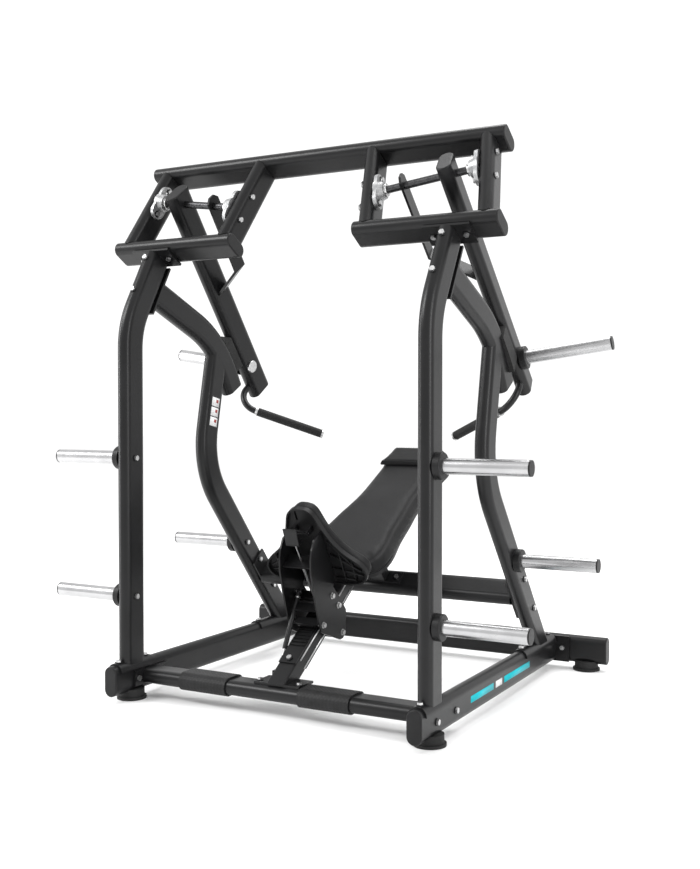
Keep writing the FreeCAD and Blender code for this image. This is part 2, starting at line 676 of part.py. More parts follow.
def build_caps(master):
    front_centre = KNEE + RUN * size("beam_run")
    top_centre = KNEE + RUN * size("top_beam_run")
    steep = math.radians(size("arch_steep"))
    places = []
    for side in (LEFT, RIGHT):
        x = side * size("side_x")
        out = Vector(side, 0, 0)
        places.append(frame_at(Vector(x, size("rail_front_y"), size("base_z")), -AXIS_Y, AXIS_Z))
        places.append(frame_at(Vector(side * size("rear_bar_half"), size("rear_bar_y"), size("base_z")),
                               out, AXIS_Z))
        places.append(frame_at(Vector(side * size("beam_outer_x"), 0, 0) + front_centre, out, ACROSS))
        places.append(frame_at(Vector(side * size("beam_inner_x"), 0, 0) + front_centre, -out, ACROSS))
        places.append(frame_at(Vector(side * size("top_beam_half"), 0, 0) + top_centre, out, ACROSS))
        down = Vector(0, math.cos(steep), -math.sin(steep))
        end = Vector(x, size("arch_knee_y"), size("arch_knee_z")) + down * size("arch_end")
        places.append(frame_at(end, down, AXIS_Y))
    nodes["tube_end_caps"] = copies("tube_end_caps", master, places)


# ---------------------------------------------------------------- weight horns
def horn_parts(label, base, outward, hint, length):
    """A chromed horn tube, its rubber collar and its end cap, from the face of its tube."""
    collar_length = size("collar_length")
    at_face = frame_at(base, outward, hint)
    tip = frame_at(base + Vector(outward) * (collar_length + sheet_value(length)), outward, hint)
    bare = frame_at(base + Vector(outward) * collar_length, outward, hint)
    tube = ring(f"{label}_tube", "sizes.horn_radius", "sizes.horn_radius - sizes.horn_wall", length, bare)
    spigot = ring(f"{label}_spigot", "sizes.horn_radius - 0.65", "sizes.horn_radius - sizes.horn_wall",
                  "sizes.collar_length", at_face)
    horn = fuse(f"{label}_horn", [tube, spigot])
    collar = ring(f"{label}_collar", "sizes.collar_radius", "sizes.horn_radius - 0.55",
                  "sizes.collar_length - 0.05", at_face)
    rounded = round_edges(f"{label}_collar_round", collar, "4",
                          lambda edge: abs(edge.Length - 2 * math.pi * size("collar_radius")) < 0.1
                          and edge.Vertexes[0].Point.distanceToPlane(base, Vector(outward)) > 1)
    lip = cylinder(f"{label}_lip", "sizes.horn_radius - 0.35", "5", tip)
    plug = cylinder(f"{label}_plug", "sizes.horn_radius - sizes.horn_wall - 0.2", "20",
                    tip.multiply(Placement(Vector(0, 0, -15), Rotation())))
    cap = fuse(f"{label}_cap", [lip, plug])
    return horn, rounded, cap


def build_storage_horns():
    horns, trim = [], []
    spots = [("upper", "front_horn_y", "upper_horn_z", "front_upright"),
             ("lower", "front_horn_y", "lower_horn_z", "front_upright"),
             ("rear", "rear_horn_y", "rear_horn_z", "rear_upright")]
    half_width = size("tube_width") / 2
    for side in (LEFT, RIGHT):
        name = SIDE_NAME[side]
        for where, y, z, tube in spots:
            base = Vector(side * (size("side_x") + half_width), size(y), size(z))
            horn, collar, cap = horn_parts(f"{where}_{name}", base, Vector(side, 0, 0), AXIS_Z,
                                           "sizes.horn_length")
            horns.append(horn)
            trim += [collar, cap]
            bolt_at(base - Vector(side * size("tube_width"), 0, 0), Vector(-side, 0, 0),
                    f"{tube}_{name}")
    nodes["storage_horns"] = group("storage_horns", horns)
    nodes["storage_horn_trim"] = group("storage_horn_trim", trim)


# ---------------------------------------------------------------- levers
def lever_frame(side):
    """Lever frame: x to the right along the axle, z up along the lever, y to its rear."""
    tilt = Vector(math.cos(arm), 0, 0) + RUN * (side * math.sin(arm))
    up_tube = Vector(-side * math.sin(arm), 0, 0) + RUN * math.cos(arm)
    drop = math.radians(size("lever_drop"))
    down = ACROSS * math.cos(drop) - up_tube * math.sin(drop)
    x_axis = tilt if side == RIGHT else Vector(math.cos(arm), 0, 0) - RUN * math.sin(arm)
    z_axis = down * -1
    origin = KNEE + RUN * size("axle_run") + ACROSS * size("axle_offset")
    origin += Vector(side * size("axle_x"), 0, 0)
    y_axis = z_axis.cross(x_axis)
    return frame_at(origin, z_axis, y_axis)


def tube_gap(side, where):
    """Distance along the axle from the lever's middle to the middle of a bearing tube."""
    tube_x = size(f"{where}_tube_x")
    tube_run = size("beam_run") + size("tube_width") / 2
    along_tube = tube_x * math.cos(arm) + tube_run * math.sin(arm)
    along_lever = size("axle_x") * math.cos(arm) + size("axle_run") * math.sin(arm)
    return abs(along_tube - along_lever)


def in_lever(side, x, y, z):
    """A place in a lever's frame, with x counted outward."""
    return lever_frame(side).multVec(Vector(side * x, y, z))


def lever_direction(side, x, y, z):
    return lever_frame(side).Rotation.multVec(Vector(side * x, y, z))


def build_lever(side, cap):
    name = SIDE_NAME[side]
    up = lever_direction(side, 0, 0, 1)
    rear = lever_direction(side, 0, 1, 0)
    out = lever_direction(side, 1, 0, 0)
    half = size("tube_width") / 2
    foot = in_lever(side, 0, 0, -size("lever_length") + size("cap_lip"))
    blank = straight_tube(f"lever_{name}_blank",
                          "sizes.lever_length + sizes.lever_head - 2 * sizes.cap_lip",
                          frame_at(foot, up, rear))
    gap_out = tube_gap(side, "outer") - half
    gap_in = tube_gap(side, "inner") - half
    axle_start = in_lever(side, -gap_in + 3, 0, 0)
    axle_length = gap_in + gap_out - 6
    bore = cylinder(f"axle_bore_{name}", "sizes.axle_radius + sizes.running_gap",
                    f"{axle_length}", frame_at(axle_start, out, rear))
    nodes[f"lever_{name}"] = cut(f"lever_{name}", blank, bore)
    nodes[f"axle_{name}"] = cylinder(f"axle_{name}", "sizes.axle_radius", f"{axle_length}",
                                     frame_at(axle_start, out, rear))
    build_brace(side, name, bore)
    build_load_horn(side, name, out, up, cap)
    build_handle(side, name)


def build_brace(side, name, bore):
    """A flat bar hung on the axle and bent outward to the lever's inner face."""
    width, thick = size("brace_width"), size("brace_thickness")
    across, low = -size("brace_x"), -size("brace_straight")
    reach = -size("tube_width") / 2 - 0.1
    land = low - size("brace_reach")
    top = size("lever_head") - 14
    points = [Vector(across - thick / 2, 0, top),
              Vector(across + thick / 2, 0, top),
              Vector(across + thick / 2, 0, low + thick * 0.4),
              Vector(reach, 0, land + thick * 0.9),
              Vector(reach, 0, land - thick * 0.6),
              Vector(across - thick / 2, 0, low - thick * 0.25)]
    outline = Part.makePolygon([Vector(side * p.x, 4 - width / 2, p.z) for p in points + points[:1]])
    bar = Part.Face(outline).extrude(Vector(0, width, 0))
    corners = [edge for edge in bar.Edges
               if all(abs(v.Z - top) < 1e-6 for v in edge.Vertexes)
               and abs(edge.Vertexes[0].Y - edge.Vertexes[-1].Y) < 1e-6]
    blank = free_shape(f"lever_brace_{name}_blank", bar.makeChamfer(16, corners), lever_frame(side))
    nodes[f"lever_brace_{name}"] = cut(f"lever_brace_{name}", blank, bore)


def build_load_horn(side, name, out, up, cap):
    """The horn that carries the plates, with its rubber collar, and the lever's plastic trim."""
    base = in_lever(side, size("tube_width") / 2, -12, size("load_horn_z"))
    horn, collar, end = horn_parts(f"load_{name}", base, out, up, "sizes.load_horn_length")
    nodes[f"load_horn_{name}"] = horn
    rear = lever_direction(side, 0, 1, 0)
    places = [frame_at(in_lever(side, 0, 0, size("lever_head") - size("cap_lip")), up, rear),
              frame_at(in_lever(side, 0, 0, -size("lever_length") + size("cap_lip")), -up, rear)]
    caps = copies(f"lever_caps_{name}", cap, places)
    nodes[f"lever_trim_{name}"] = group(f"lever_trim_{name}", [collar, end, caps])


def build_handle(side, name):
    """A round bar curving inward from the lever's foot, with a rubber grip between two rings."""
    grip_start = Vector(-81, -126, -877)
    grip_end = Vector(-300, -52, -1017)
    toward = (grip_end - grip_start).normalize()
    corner = grip_start - toward * (grip_start.x / toward.x)
    start = Vector(0, -size("tube_depth") / 2 - 0.1, corner.z)
    first = abs(corner.y - start.y)
    second = (grip_start - corner).Length + size("grip_length") + 8
    turn = math.degrees(Vector(0, -1, 0).getAngle(toward))
    place = frame_at(in_lever(side, *start), lever_direction(side, 0, -1, 0),
                     lever_direction(side, *toward))
    bar = bent_tube(f"handle_{name}", f"{first}", f"{second}", "sizes.handle_bend",
                    f"{turn}", place, round_section("sizes.handle_radius"))
    nodes[f"handle_{name}"] = bar
    lay = lever_direction(side, *toward)
    hint = lever_direction(side, 0, 1, 0)
    grip_at = frame_at(in_lever(side, *grip_start), lay, hint)
    nodes[f"hand_grip_{name}"] = ring(f"hand_grip_{name}", "sizes.grip_radius",
                                      "sizes.handle_radius + 0.1", "sizes.grip_length", grip_at)
    near = frame_at(in_lever(side, *(grip_start - toward * 9)), lay, hint)
    far = frame_at(in_lever(side, *(grip_start + toward * size("grip_length"))), lay, hint)
    rings = [ring(f"grip_ring_{name}_0", "sizes.grip_radius + 1", "sizes.handle_radius + 0.1", "9", near),
             ring(f"grip_ring_{name}_1", "sizes.grip_radius + 1", "sizes.handle_radius + 0.1", "8", far)]
    out = lever_direction(side, 1, 0, 0)
    inner_face = frame_at(in_lever(side, -size("tube_width") / 2, -12, size("load_horn_z")), out * -1, hint)
    disc = cylinder(f"horn_nut_blank_{name}", "24", "9", inner_face)
    nut = round_edges(f"horn_nut_{name}", disc, "3",
                      lambda e: e.Vertexes[0].Point.distanceToPlane(inner_face.Base, out) < -5)
    nodes[f"lever_fittings_{name}"] = group(f"lever_fittings_{name}", rings + [nut])


def build_bearings():
    """Two-bolt flange bearings on the faces of the bearing tubes, round the axle ends."""
    housings = []
    for side in (LEFT, RIGHT):
        name = SIDE_NAME[side]
        half = size("tube_width") / 2
        for where, turned in (("outer", 1), ("inner", -1)):
            face = turned * (tube_gap(side, where) - half)
            inward = lever_direction(side, -turned, 0, 0)
            tube_up = Vector(-side * math.sin(arm), 0, 0) + RUN * math.cos(arm)
            seat = frame_at(in_lever(side, face, 0, 0), inward, tube_up)
            flange = new_body(f"bearing_flange_{where}_{name}")
            sketch = new_sketch(flange, "XY_Plane", "outline")
            add_slot(sketch, "60", "132", "outer")
            pad = flange.newObject("PartDesign::Pad", "plate")
            pad.Profile = sketch
            bind(pad, "Length", "sizes.bearing_plate")
            flange.Placement = seat
            boss = doc.addObject("Part::Cone", f"bearing_boss_{where}_{name}")
            bind(boss, "Radius1", "sizes.bearing_boss_radius + 3")
            bind(boss, "Radius2", "sizes.bearing_boss_radius - 5")
            bind(boss, "Height", "sizes.bearing_height")
            boss.Placement = seat
            bore = cylinder(f"bearing_bore_{where}_{name}", "sizes.axle_radius + sizes.running_gap",
                            "sizes.bearing_height", seat)
            blank = fuse(f"bearing_blank_{where}_{name}", [flange, boss])
            housings.append(cut(f"bearing_{where}_{name}", blank, bore))
            for offset in (-1, 1):
                place = seat.multVec(Vector(0, offset * size("bearing_bolts") / 2, size("bearing_plate")))
                bolt_at(place, inward, "bearing_tubes", "bearing_housings")
                back = seat.multVec(Vector(0, offset * size("bearing_bolts") / 2, -size("tube_width")))
                bolt_at(back, -inward, "bearing_tubes")
    nodes["bearing_housings"] = group("bearing_housings", housings)


def build_lever_stops():
    """Rubber blocks on the arches that the levers rest against."""
    stops = []
    for side in (LEFT, RIGHT):
        name = SIDE_NAME[side]
        front = -size("tube_depth") / 2 - 0.4
        outline = [(front, -566), (front, -706), (-134, -706), (-125, -636), (-122, -566)]
        half = size("stop_width") / 2
        corners = [Vector(-side * half, y, z) for y, z in outline + outline[:1]]
        prism = Part.Face(Part.makePolygon(corners)).extrude(Vector(2 * side * half, 0, 0))
        blank = free_shape(f"stop_blank_{name}", prism, lever_frame(side))
        stops.append(cut(f"stop_{name}", blank, arch_fill(f"stop_trim_{name}", side)))
    nodes["lever_stops"] = group("lever_stops", stops)


# ---------------------------------------------------------------- seat post and backrest
slope = math.radians(size("post_lean"))
ALONG_POST = Vector(0, math.cos(slope), math.sin(slope))
OFF_POST = Vector(0, -math.sin(slope), math.cos(slope))
POST_START = Vector(0, size("post_foot_y"), size("post_foot_z"))
rise = math.radians(size("back_lean"))
ALONG_BACK = Vector(0, math.cos(rise), math.sin(rise))
OFF_BACK = Vector(0, -math.sin(rise), math.cos(rise))
BACK_START = Vector(0, size("back_start_y"), size("back_start_z"))


def on_post(x, s, n):
    return POST_START + Vector(x, 0, 0) + ALONG_POST * s + OFF_POST * n


def under_back(x, w, depth):
    """A place under the backrest: w along it, depth below its top face."""
    return BACK_START + Vector(x, 0, 0) + ALONG_BACK * w - OFF_BACK * depth


def box_tube(label, width, depth, length, placement):
    """A box tube along the placement's z with rounded outer edges."""
    outer = round_edges(f"{label}_outer", block(f"{label}_bar", width, depth, length, placement), "5",
                        straight_along(placement.Rotation.multVec(AXIS_Z)))
    bore = block(f"{label}_bore", f"{width} - 2 * sizes.post_wall", f"{depth} - 2 * sizes.post_wall",
                 length, placement)
    return cut(label, outer, bore)


def build_post():
    """The slanting post that carries the seat, its floor bracket, rack and wear strip."""
    start = on_post(0, -90, 0)
    blank = box_tube("seat_post_blank", "sizes.post_width", "sizes.post_depth", "sizes.post_end + 90",
                     frame_at(start, ALONG_POST, OFF_POST))
    top_of_bracket = size("bracket_z") + size("plate_thickness")
    floor = block("post_floor", "300", "400", "200",
                  Placement(Vector(0, start.y, top_of_bracket - 200), Rotation()))
    nodes["seat_post"] = cut("seat_post", blank, floor)
    plate = block("post_bracket_plate", "172", "94", "sizes.plate_thickness",
                  Placement(Vector(0, POST_START.y - 30, size("bracket_z")), Rotation()))
    lug = block("post_bracket_lug", "5", "24", "22",
                Placement(Vector(size("gas_x") - 14, size("gas_low_y"), top_of_bracket), Rotation()))
    nodes["post_bracket"] = fuse("post_bracket", [plate, lug])
    for x in (-76, 76):
        bolt_at(Vector(x, POST_START.y - 55, top_of_bracket), AXIS_Z, "front_crossbar", "post_bracket")
    nodes["post_wear_strip"] = block("post_wear_strip", "50", "12", "410",
                                     frame_at(on_post(0, 60, -36.1), ALONG_POST, OFF_POST))
    base_n = size("post_depth") / 2 + 0.05
    base = block("rack_base", "66", "sizes.rack_base", "sizes.rack_length",
                 frame_at(on_post(0, size("rack_start"), base_n + size("rack_base") / 2),
                          ALONG_POST, OFF_POST))
    ridges = [base]
    for index in range(13):
        s = size("lock_s") + size("rack_pitch") * (0.5 - index) - size("ridge_width") / 2
        place = frame_at(on_post(0, s, base_n + size("rack_base") + size("ridge_height") / 2),
                         ALONG_POST, OFF_POST)
        ridges.append(block(f"rack_ridge_{index}", "58", "sizes.ridge_height", "sizes.ridge_width", place))
    nodes["seat_rack"] = fuse("seat_rack", ridges)
    bolt_at(on_post(0, 31, base_n + size("rack_base")), OFF_POST, "seat_post", "seat_rack")


def build_backrest():
    """Spine, strut and mounting plates under the backrest, then its board and pads."""
    low = math.radians(size("rear_lower_lean"))
    face_out = Vector(0, -math.sin(low), math.cos(low))
    face_along = Vector(0, math.cos(low), math.sin(low))
    face = Vector(0, size("cross_y"), size("cross_z")) + face_out * (size("tube_width") / 2 + 0.05)
    board_under = size("pad_thickness") + size("board_thickness")
    spine_top = board_under + size("mount_plate")
    spine_mid = spine_top + size("spine_depth") / 2
    spine = box_tube("backrest_spine_blank", "sizes.spine_width", "sizes.spine_depth", "640",
                     frame_at(under_back(0, 160, spine_mid), ALONG_BACK, OFF_BACK))
    post_room = block("spine_mitre", "300", "300", "sizes.post_end + 0.05",
                      frame_at(on_post(0, 0, 0), ALONG_POST, OFF_POST))
    spine_cut = cut("backrest_spine_cut", spine, post_room)
    strut = box_tube("backrest_strut_bar", "sizes.spine_width", "50", "320",
                     frame_at(face + face_out * size("plate_thickness"), face_out, face_along))
    over = block("strut_ceiling", "300", "700", "400",
                 frame_at(under_back(0, 300, spine_top + size("spine_depth") + 0.05), OFF_BACK, ALONG_BACK))
    foot = block("strut_foot", "176", "52", "sizes.plate_thickness", frame_at(face, face_out, face_along))
    nodes["backrest_strut"] = fuse("backrest_strut", [cut("strut_cut", strut, over), foot])
    for x in (-70, 70):
        bolt_at(face + Vector(x, 0, 0) + face_out * size("plate_thickness"), face_out,
                "upper_crossbar", "backrest_strut")
    plates = []
    for index, (w, width) in enumerate(((195, 200), (430, 180), (730, 160))):
        place = frame_at(under_back(0, w, spine_top), OFF_BACK, ALONG_BACK)
        plates.append(block(f"pad_mount_{index}", f"{width}", "50", "sizes.mount_plate", place))
    nodes["backrest_spine"] = fuse("backrest_spine", [spine_cut] + plates)
    outline = [(0, 0), (90, 1), (135, 10), (160, 36), (170, 80), (167, 150), (153, 229), (139, 362),
               (127, 460), (123, 540), (126, 640), (131, 740), (132, 800), (118, 829), (80, 836), (0, 836)]
    grown = [Vector(x + size("pad_bevel") * 0.6 * (x > 0), w, 0) for x, w in outline]
    seat = frame_at(under_back(0, 0, board_under), OFF_BACK, ALONG_BACK)
    inset = [Vector(max(p.x - 10, 0), 10 + p.y * (size("back_length") - 20) / size("back_length"), 0)
             for p in grown]
    board = Part.Face(smooth_outline(inset)).extrude(Vector(0, 0, size("board_thickness")))
    nodes["backrest_board"] = free_shape("backrest_board", board, seat)
    lifted = frame_at(under_back(0, 0, size("pad_thickness")), OFF_BACK, ALONG_BACK)
    pad = Part.Face(smooth_outline(grown)).extrude(Vector(0, 0, size("pad_thickness")))
    rim = [e for e in pad.Edges if e.BoundBox.ZMin > size("pad_thickness") - 1e-3]
    nodes["back_pad"] = free_shape("back_pad", pad.makeChamfer(size("pad_bevel") * 0.8, rim), lifted)
    nodes["headrest_pad"] = build_headrest()


def build_headrest():
    """A raised block across the top end of the back pad."""
    start, end = size("head_start"), size("back_length")
    low, high, inner, outer = 25, 36, 100, 134
    floor = [Vector(-outer, start, 0), Vector(outer, start, 0), Vector(outer - 4, end, 0),
             Vector(4 - outer, end, 0)]
    top = [Vector(-outer + 8, start + 4, low), Vector(outer - 8, start + 4, low),
           Vector(inner, end - 4, high), Vector(-inner, end - 4, high)]
    wires = [Part.makePolygon(corners + corners[:1]) for corners in (floor, top)]
    wedge = Part.makeLoft(wires, True, True)
    rounded = wedge.makeFillet(5, wedge.Edges)
    return free_shape("headrest_pad", rounded, frame_at(under_back(0, 0, -0.3), OFF_BACK, ALONG_BACK))


# ---------------------------------------------------------------- seat carriage
def flat_on_side(points, inner, thickness, side):
    """A plate parallel to the middle plane, from its outline in y and z from the post's foot."""
    corner = POST_START + AXIS_X * (side * inner)
    wire = Part.makePolygon([corner + Vector(0, y, z) for y, z in points + points[:1]])
    return Part.Face(wire).extrude(Vector(side * thickness, 0, 0))


def build_carriage():
    outline = [(62, 437), (46, 402), (40, 372), (42, 326), (61, 256), (101, 139), (110, 120),
               (129, 111), (241, 71), (265, 74), (280, 107), (283, 171), (233, 224), (190, 264),
               (204, 297), (114, 463.5)]
    half, thick = size("carriage_half"), size("carriage_plate")
    stations = {"a": (181, 49.3, 10.9), "b": (265.3, -64.6, 21.8)}
    rollers, shafts, sides = [], [], []
    for key, (s, n, radius) in stations.items():
        start = on_post(-33, s, n)
        rollers.append(ring(f"roller_{key}", f"{radius}", "5.1", "66", frame_at(start, AXIS_X, ALONG_POST)))
        place = frame_at(on_post(-half - thick, s, n), AXIS_X, ALONG_POST)
        shafts.append(cylinder(f"roller_shaft_{key}", "5", f"{2 * (half + thick)}", place))
    for side in (LEFT, RIGHT):
        name = SIDE_NAME[side]
        plate = flat_on_side(outline, half, thick, side)
        upright = [e for e in plate.Edges if abs(abs((e.Vertexes[0].X - e.Vertexes[-1].X)) - thick) < 1e-6
                   and e.Vertexes[0].Z < 560]
        blank = free_shape(f"carriage_side_{name}_blank", plate.makeFillet(8, upright))
        holes = [cylinder(f"carriage_hole_{key}_{name}", "5.05", "30",
                          frame_at(on_post(side * half - 15, s, n), AXIS_X, ALONG_POST))
                 for key, (s, n, _) in stations.items()]
        sides.append(cut(f"carriage_side_{name}", blank, fuse(f"carriage_holes_{name}", holes)))
    nodes["carriage_sides"] = group("carriage_sides", sides)
    nodes["guide_rollers"] = group("guide_rollers", rollers)
    return build_carriage_bars(half), shafts + build_carriage_fasteners(half, thick, stations)


def build_carriage_bars(half):
    """Cross plates between the side plates; two of them guide the lock pin."""
    width = f"{2 * half}"
    bars = []
    for index, (n, height, length, hole) in enumerate(((246, 6, 64, 3.6), (82, 18, 34, 8.1))):
        seat = frame_at(on_post(0, size("lock_s"), n), OFF_POST, ALONG_POST)
        bar = block(f"cross_bar_{index}_blank", width, f"{length}", f"{height}", seat)
        bore = cylinder(f"cross_bar_{index}_bore", f"{hole}", f"{height}", seat)
        bars.append(cut(f"cross_bar_{index}", bar, bore))
    beside_spring = size("gas_x") + size("gas_cylinder_radius") + 2.5
    for index, (s, n, length, height) in enumerate(((173, 66, 30, 6), (205, 100, 36, 6))):
        seat = frame_at(on_post((half + beside_spring) / 2, s, n), OFF_POST, ALONG_POST)
        bars.append(block(f"front_bar_{index}", f"{half - beside_spring}", f"{length}", f"{height}", seat))
    return bars


def build_carriage_fasteners(half, thick, stations):
    heads = []
    spots = [(s, n) for s, n, _ in stations.values()] + [(281.5, 91), (296.6, 33.9)]
    for side in (LEFT, RIGHT):
        for index, (s, n) in enumerate(spots):
            place = frame_at(on_post(side * (half + thick), s, n), Vector(side, 0, 0), ALONG_POST)
            washer = cylinder(f"carriage_washer_{side}_{index}", "11", "1.5", place)
            head = cylinder(f"carriage_head_{side}_{index}", "8.5", "8", place)
            heads.append(fuse(f"carriage_bolt_{side}_{index}", [washer, head]))
    return heads


def build_seat():
    """The saddle-shaped seat: an open shell in front and a cushion behind it."""
    tilt = math.radians(size("seat_lean"))
    up = Vector(0, -math.cos(tilt), math.sin(tilt))
    behind = Vector(0, math.sin(tilt), math.cos(tilt))
    centre = Vector(0, size("seat_y"), size("seat_z"))
    outline = [(0, 236), (26, 233), (46, 218), (62, 184), (86, 123), (116, 77), (156, 40), (189, 10),
               (198, -20), (185, -50), (148, -66), (80, -71), (0, -72)]
    inner = [(0, 231), (23, 228), (41.5, 215), (57.5, 182), (81.5, 120), (112, 72.5), (152, 35.5),
             (183, 7), (192, -20), (180, -46), (146, -61), (80, -66), (0, -67)]
    wall, deep = size("shell_wall"), size("shell_depth")
    front = frame_at(centre - behind * 4, behind, up)
    body = Part.Face(smooth_outline([Vector(x, y, 0) for x, y in outline])).extrude(Vector(0, 0, deep))
    room = Part.Face(smooth_outline([Vector(x, y, 0) for x, y in inner]))
    hollow = room.extrude(Vector(0, 0, deep - wall))
    slot = Part.makeBox(8, 36, 2 * wall, Vector(20, 182, deep - 1.5 * wall))
    shell = body.cut(hollow).cut(slot)
    nodes["seat_shell"] = free_shape("seat_shell", shell, front)
    back = frame_at(centre + behind * (deep - 4 + 0.1), behind, up)
    pad = Part.Face(smooth_outline([Vector(x, y, 0) for x, y in outline]))
    cushion = pad.extrude(Vector(0, 0, size("cushion_thickness")))
    rim = [e for e in cushion.Edges if e.BoundBox.ZMin > size("cushion_thickness") - 1e-3]
    nodes["seat_cushion"] = free_shape("seat_cushion", cushion.makeFillet(12, rim), back)


def folded_run(label, start, end):
    """One flat run of the folded paddle plate, reaching half its thickness past both folds."""
    thick = 4
    toward = (end - start).normalize()
    face = Vector(0, -toward.z, toward.y)
    middle = (start + end) / 2 - face * (thick / 2)
    return block(label, "sizes.paddle_width", f"{(end - start).Length + thick}", f"{thick}",
                 frame_at(middle, face, toward))


def build_release():
    """Paddle under the seat's nose, with the rod and pin that it lifts."""
    axis = frame_at(on_post(0, size("lock_s"), 0), OFF_POST, ALONG_POST)
    tip_n = size("post_depth") / 2 + 0.05 + size("rack_base") + size("ridge_height") + 0.5
    reach = Placement(Vector(0, 0, tip_n), Rotation())
    tip = cylinder("lock_tip", "sizes.lock_tip_radius", "20", axis.multiply(reach))
    shoulder = Placement(Vector(0, 0, tip_n + 12), Rotation())
    barrel = cylinder("lock_barrel", "sizes.lock_radius", f"sizes.lock_top - {tip_n + 12}",
                      axis.multiply(shoulder))
    pin = fuse("lock_pin_turned", [tip, barrel])
    rod_low = Placement(Vector(0, 0, size("lock_top")), Rotation())
    rod = cylinder("release_wire", "sizes.rod_radius", "sizes.knob_n - sizes.lock_top + 6",
                   axis.multiply(rod_low))
    on_rod = axis.multiply(Placement(Vector(0, 0, size("knob_n")), Rotation()))
    knob = cylinder("release_knob", "6", "4.5", on_rod.multiply(Placement(Vector(0, 0, 2), Rotation())))
    nodes["lock_pin"] = group("lock_pin", [pin, fuse("release_rod", [rod, knob])])
    pivot = Vector(0, size("paddle_y"), size("paddle_z"))
    half = size("paddle_width") / 2
    barrel = cylinder("paddle_barrel", "6", "sizes.paddle_width",
                      frame_at(pivot - AXIS_X * half, AXIS_X, AXIS_Z))
    tab_front = on_post(0, size("lock_s") - 13, size("knob_n") - 2.5)
    tab_rear = on_post(0, size("lock_s") + 13, size("knob_n") - 2.5)
    fold = tab_front + Vector(0, -23, 54)
    runs = [folded_run(f"paddle_run_{index}", start, end)
            for index, (start, end) in enumerate(((pivot, fold), (fold, tab_front), (tab_front, tab_rear)))]
    bore = cylinder("paddle_bore", "3.05", "80", frame_at(pivot - AXIS_X * 40, AXIS_X, AXIS_Z))
    below_knob = axis.multiply(Placement(Vector(0, 0, size("knob_n") - 8), Rotation()))
    hole = cylinder("paddle_hole", "5", "12", below_knob)
    nodes["release_paddle"] = cut("release_paddle", fuse("paddle_blank", [barrel] + runs),
                                  fuse("paddle_holes", [bore, hole]))
    ears = []
    for side in (LEFT, RIGHT):
        outline = [(79, 447), (69, 460), (104, 482), (114.5, 463)]
        lug = free_shape(f"paddle_lug_{side}_blank", flat_on_side(outline, half + 1.5, 4, side))
        ears.append(cut(f"paddle_lug_{side}", lug, bore))
    hinge = cylinder("paddle_pin", "3", "2 * 30.5", frame_at(pivot - AXIS_X * 30.5, AXIS_X, AXIS_Z))
    return ears, hinge


def build_gas_spring():
    """A gas spring beside the post, from the floor bracket up to the carriage."""
    x = size("gas_x")
    top = Vector(x, size("gas_top_y"), size("gas_top_z"))
    low = Vector(x, size("gas_low_y"), size("gas_low_z"))
    down = (low - top).normalize()
    body_place = frame_at(top + down * 5, down, AXIS_X)
    barrel = cylinder("gas_barrel", "sizes.gas_cylinder_radius", "sizes.gas_cylinder_length - 5", body_place)
    bore = cylinder("gas_hollow", "sizes.gas_bore", "sizes.gas_cylinder_length - 9",
                    frame_at(top + down * 24, down, AXIS_X))
    eye = cylinder("gas_top_eye", "8", "11", frame_at(top - AXIS_X * 5.5, AXIS_X, down))
    pin_room = cylinder("gas_top_bore", "4.05", "40", frame_at(top - AXIS_X * 20, AXIS_X, down))
    barrel_open = cut("gas_barrel_open", barrel, bore)
    nodes["gas_cylinder"] = cut("gas_cylinder", fuse("gas_cylinder_blank", [barrel_open, eye]), pin_room)
    rod = cylinder("gas_rod_bar", "sizes.gas_rod_radius", "sizes.gas_rod_length",
                   frame_at(low, -down, AXIS_X))
    low_eye = cylinder("gas_low_eye", "7", "11", frame_at(low - AXIS_X * 5.5, AXIS_X, down))
    low_room = cylinder("gas_low_bore", "4.05", "40", frame_at(low - AXIS_X * 20, AXIS_X, down))
    nodes["gas_rod"] = cut("gas_rod", fuse("gas_rod_blank", [rod, low_eye]), low_room)
    wall = -size("carriage_half")
    top_pin = cylinder("gas_top_pin", "4", f"{x - wall + 7}",
                       frame_at(Vector(wall, top.y, top.z), AXIS_X, down))
    low_pin = cylinder("gas_low_pin", "4", "17.6",
                       frame_at(Vector(x - 11.4, low.y, low.z), AXIS_X, down))
    return top_pin, low_pin


# ---------------------------------------------------------------- fasteners
def bolt_master(label):
    """A hexagon bolt: its washer's seat is at the origin and its head points up z."""
    head = doc.addObject("Part::Prism", f"{label}_head")
    head.Polygon = 6
    bind(head, "Circumradius", "sizes.bolt_head_radius")
    bind(head, "Height", "sizes.bolt_head_height")
    head.Placement = Placement(Vector(0, 0, size("washer_thickness")), Rotation())
    shank = cylinder(f"{label}_shank", "sizes.bolt_radius", "sizes.shank_length + sizes.washer_thickness",
                     Placement(Vector(0, 0, -size("shank_length")), Rotation()))
    return fuse(label, [head, shank])


def build_fasteners():
    bolt = bolt_master("bolt")
    washer = ring("washer", "sizes.washer_radius", "sizes.bolt_radius + 0.1",
                  "sizes.washer_thickness - 0.05", Placement(Vector(0, 0, 0.02), Rotation()))
    places = [frame_at(place, outward, square_to(outward)) for place, outward, _ in bolts]
    hexagons = copies("frame_bolt_set", bolt, places)
    nodes["frame_bolts"] = group("frame_bolts", [hexagons, gas_low_pin])
    nodes["frame_washers"] = copies("frame_washers", washer, places)


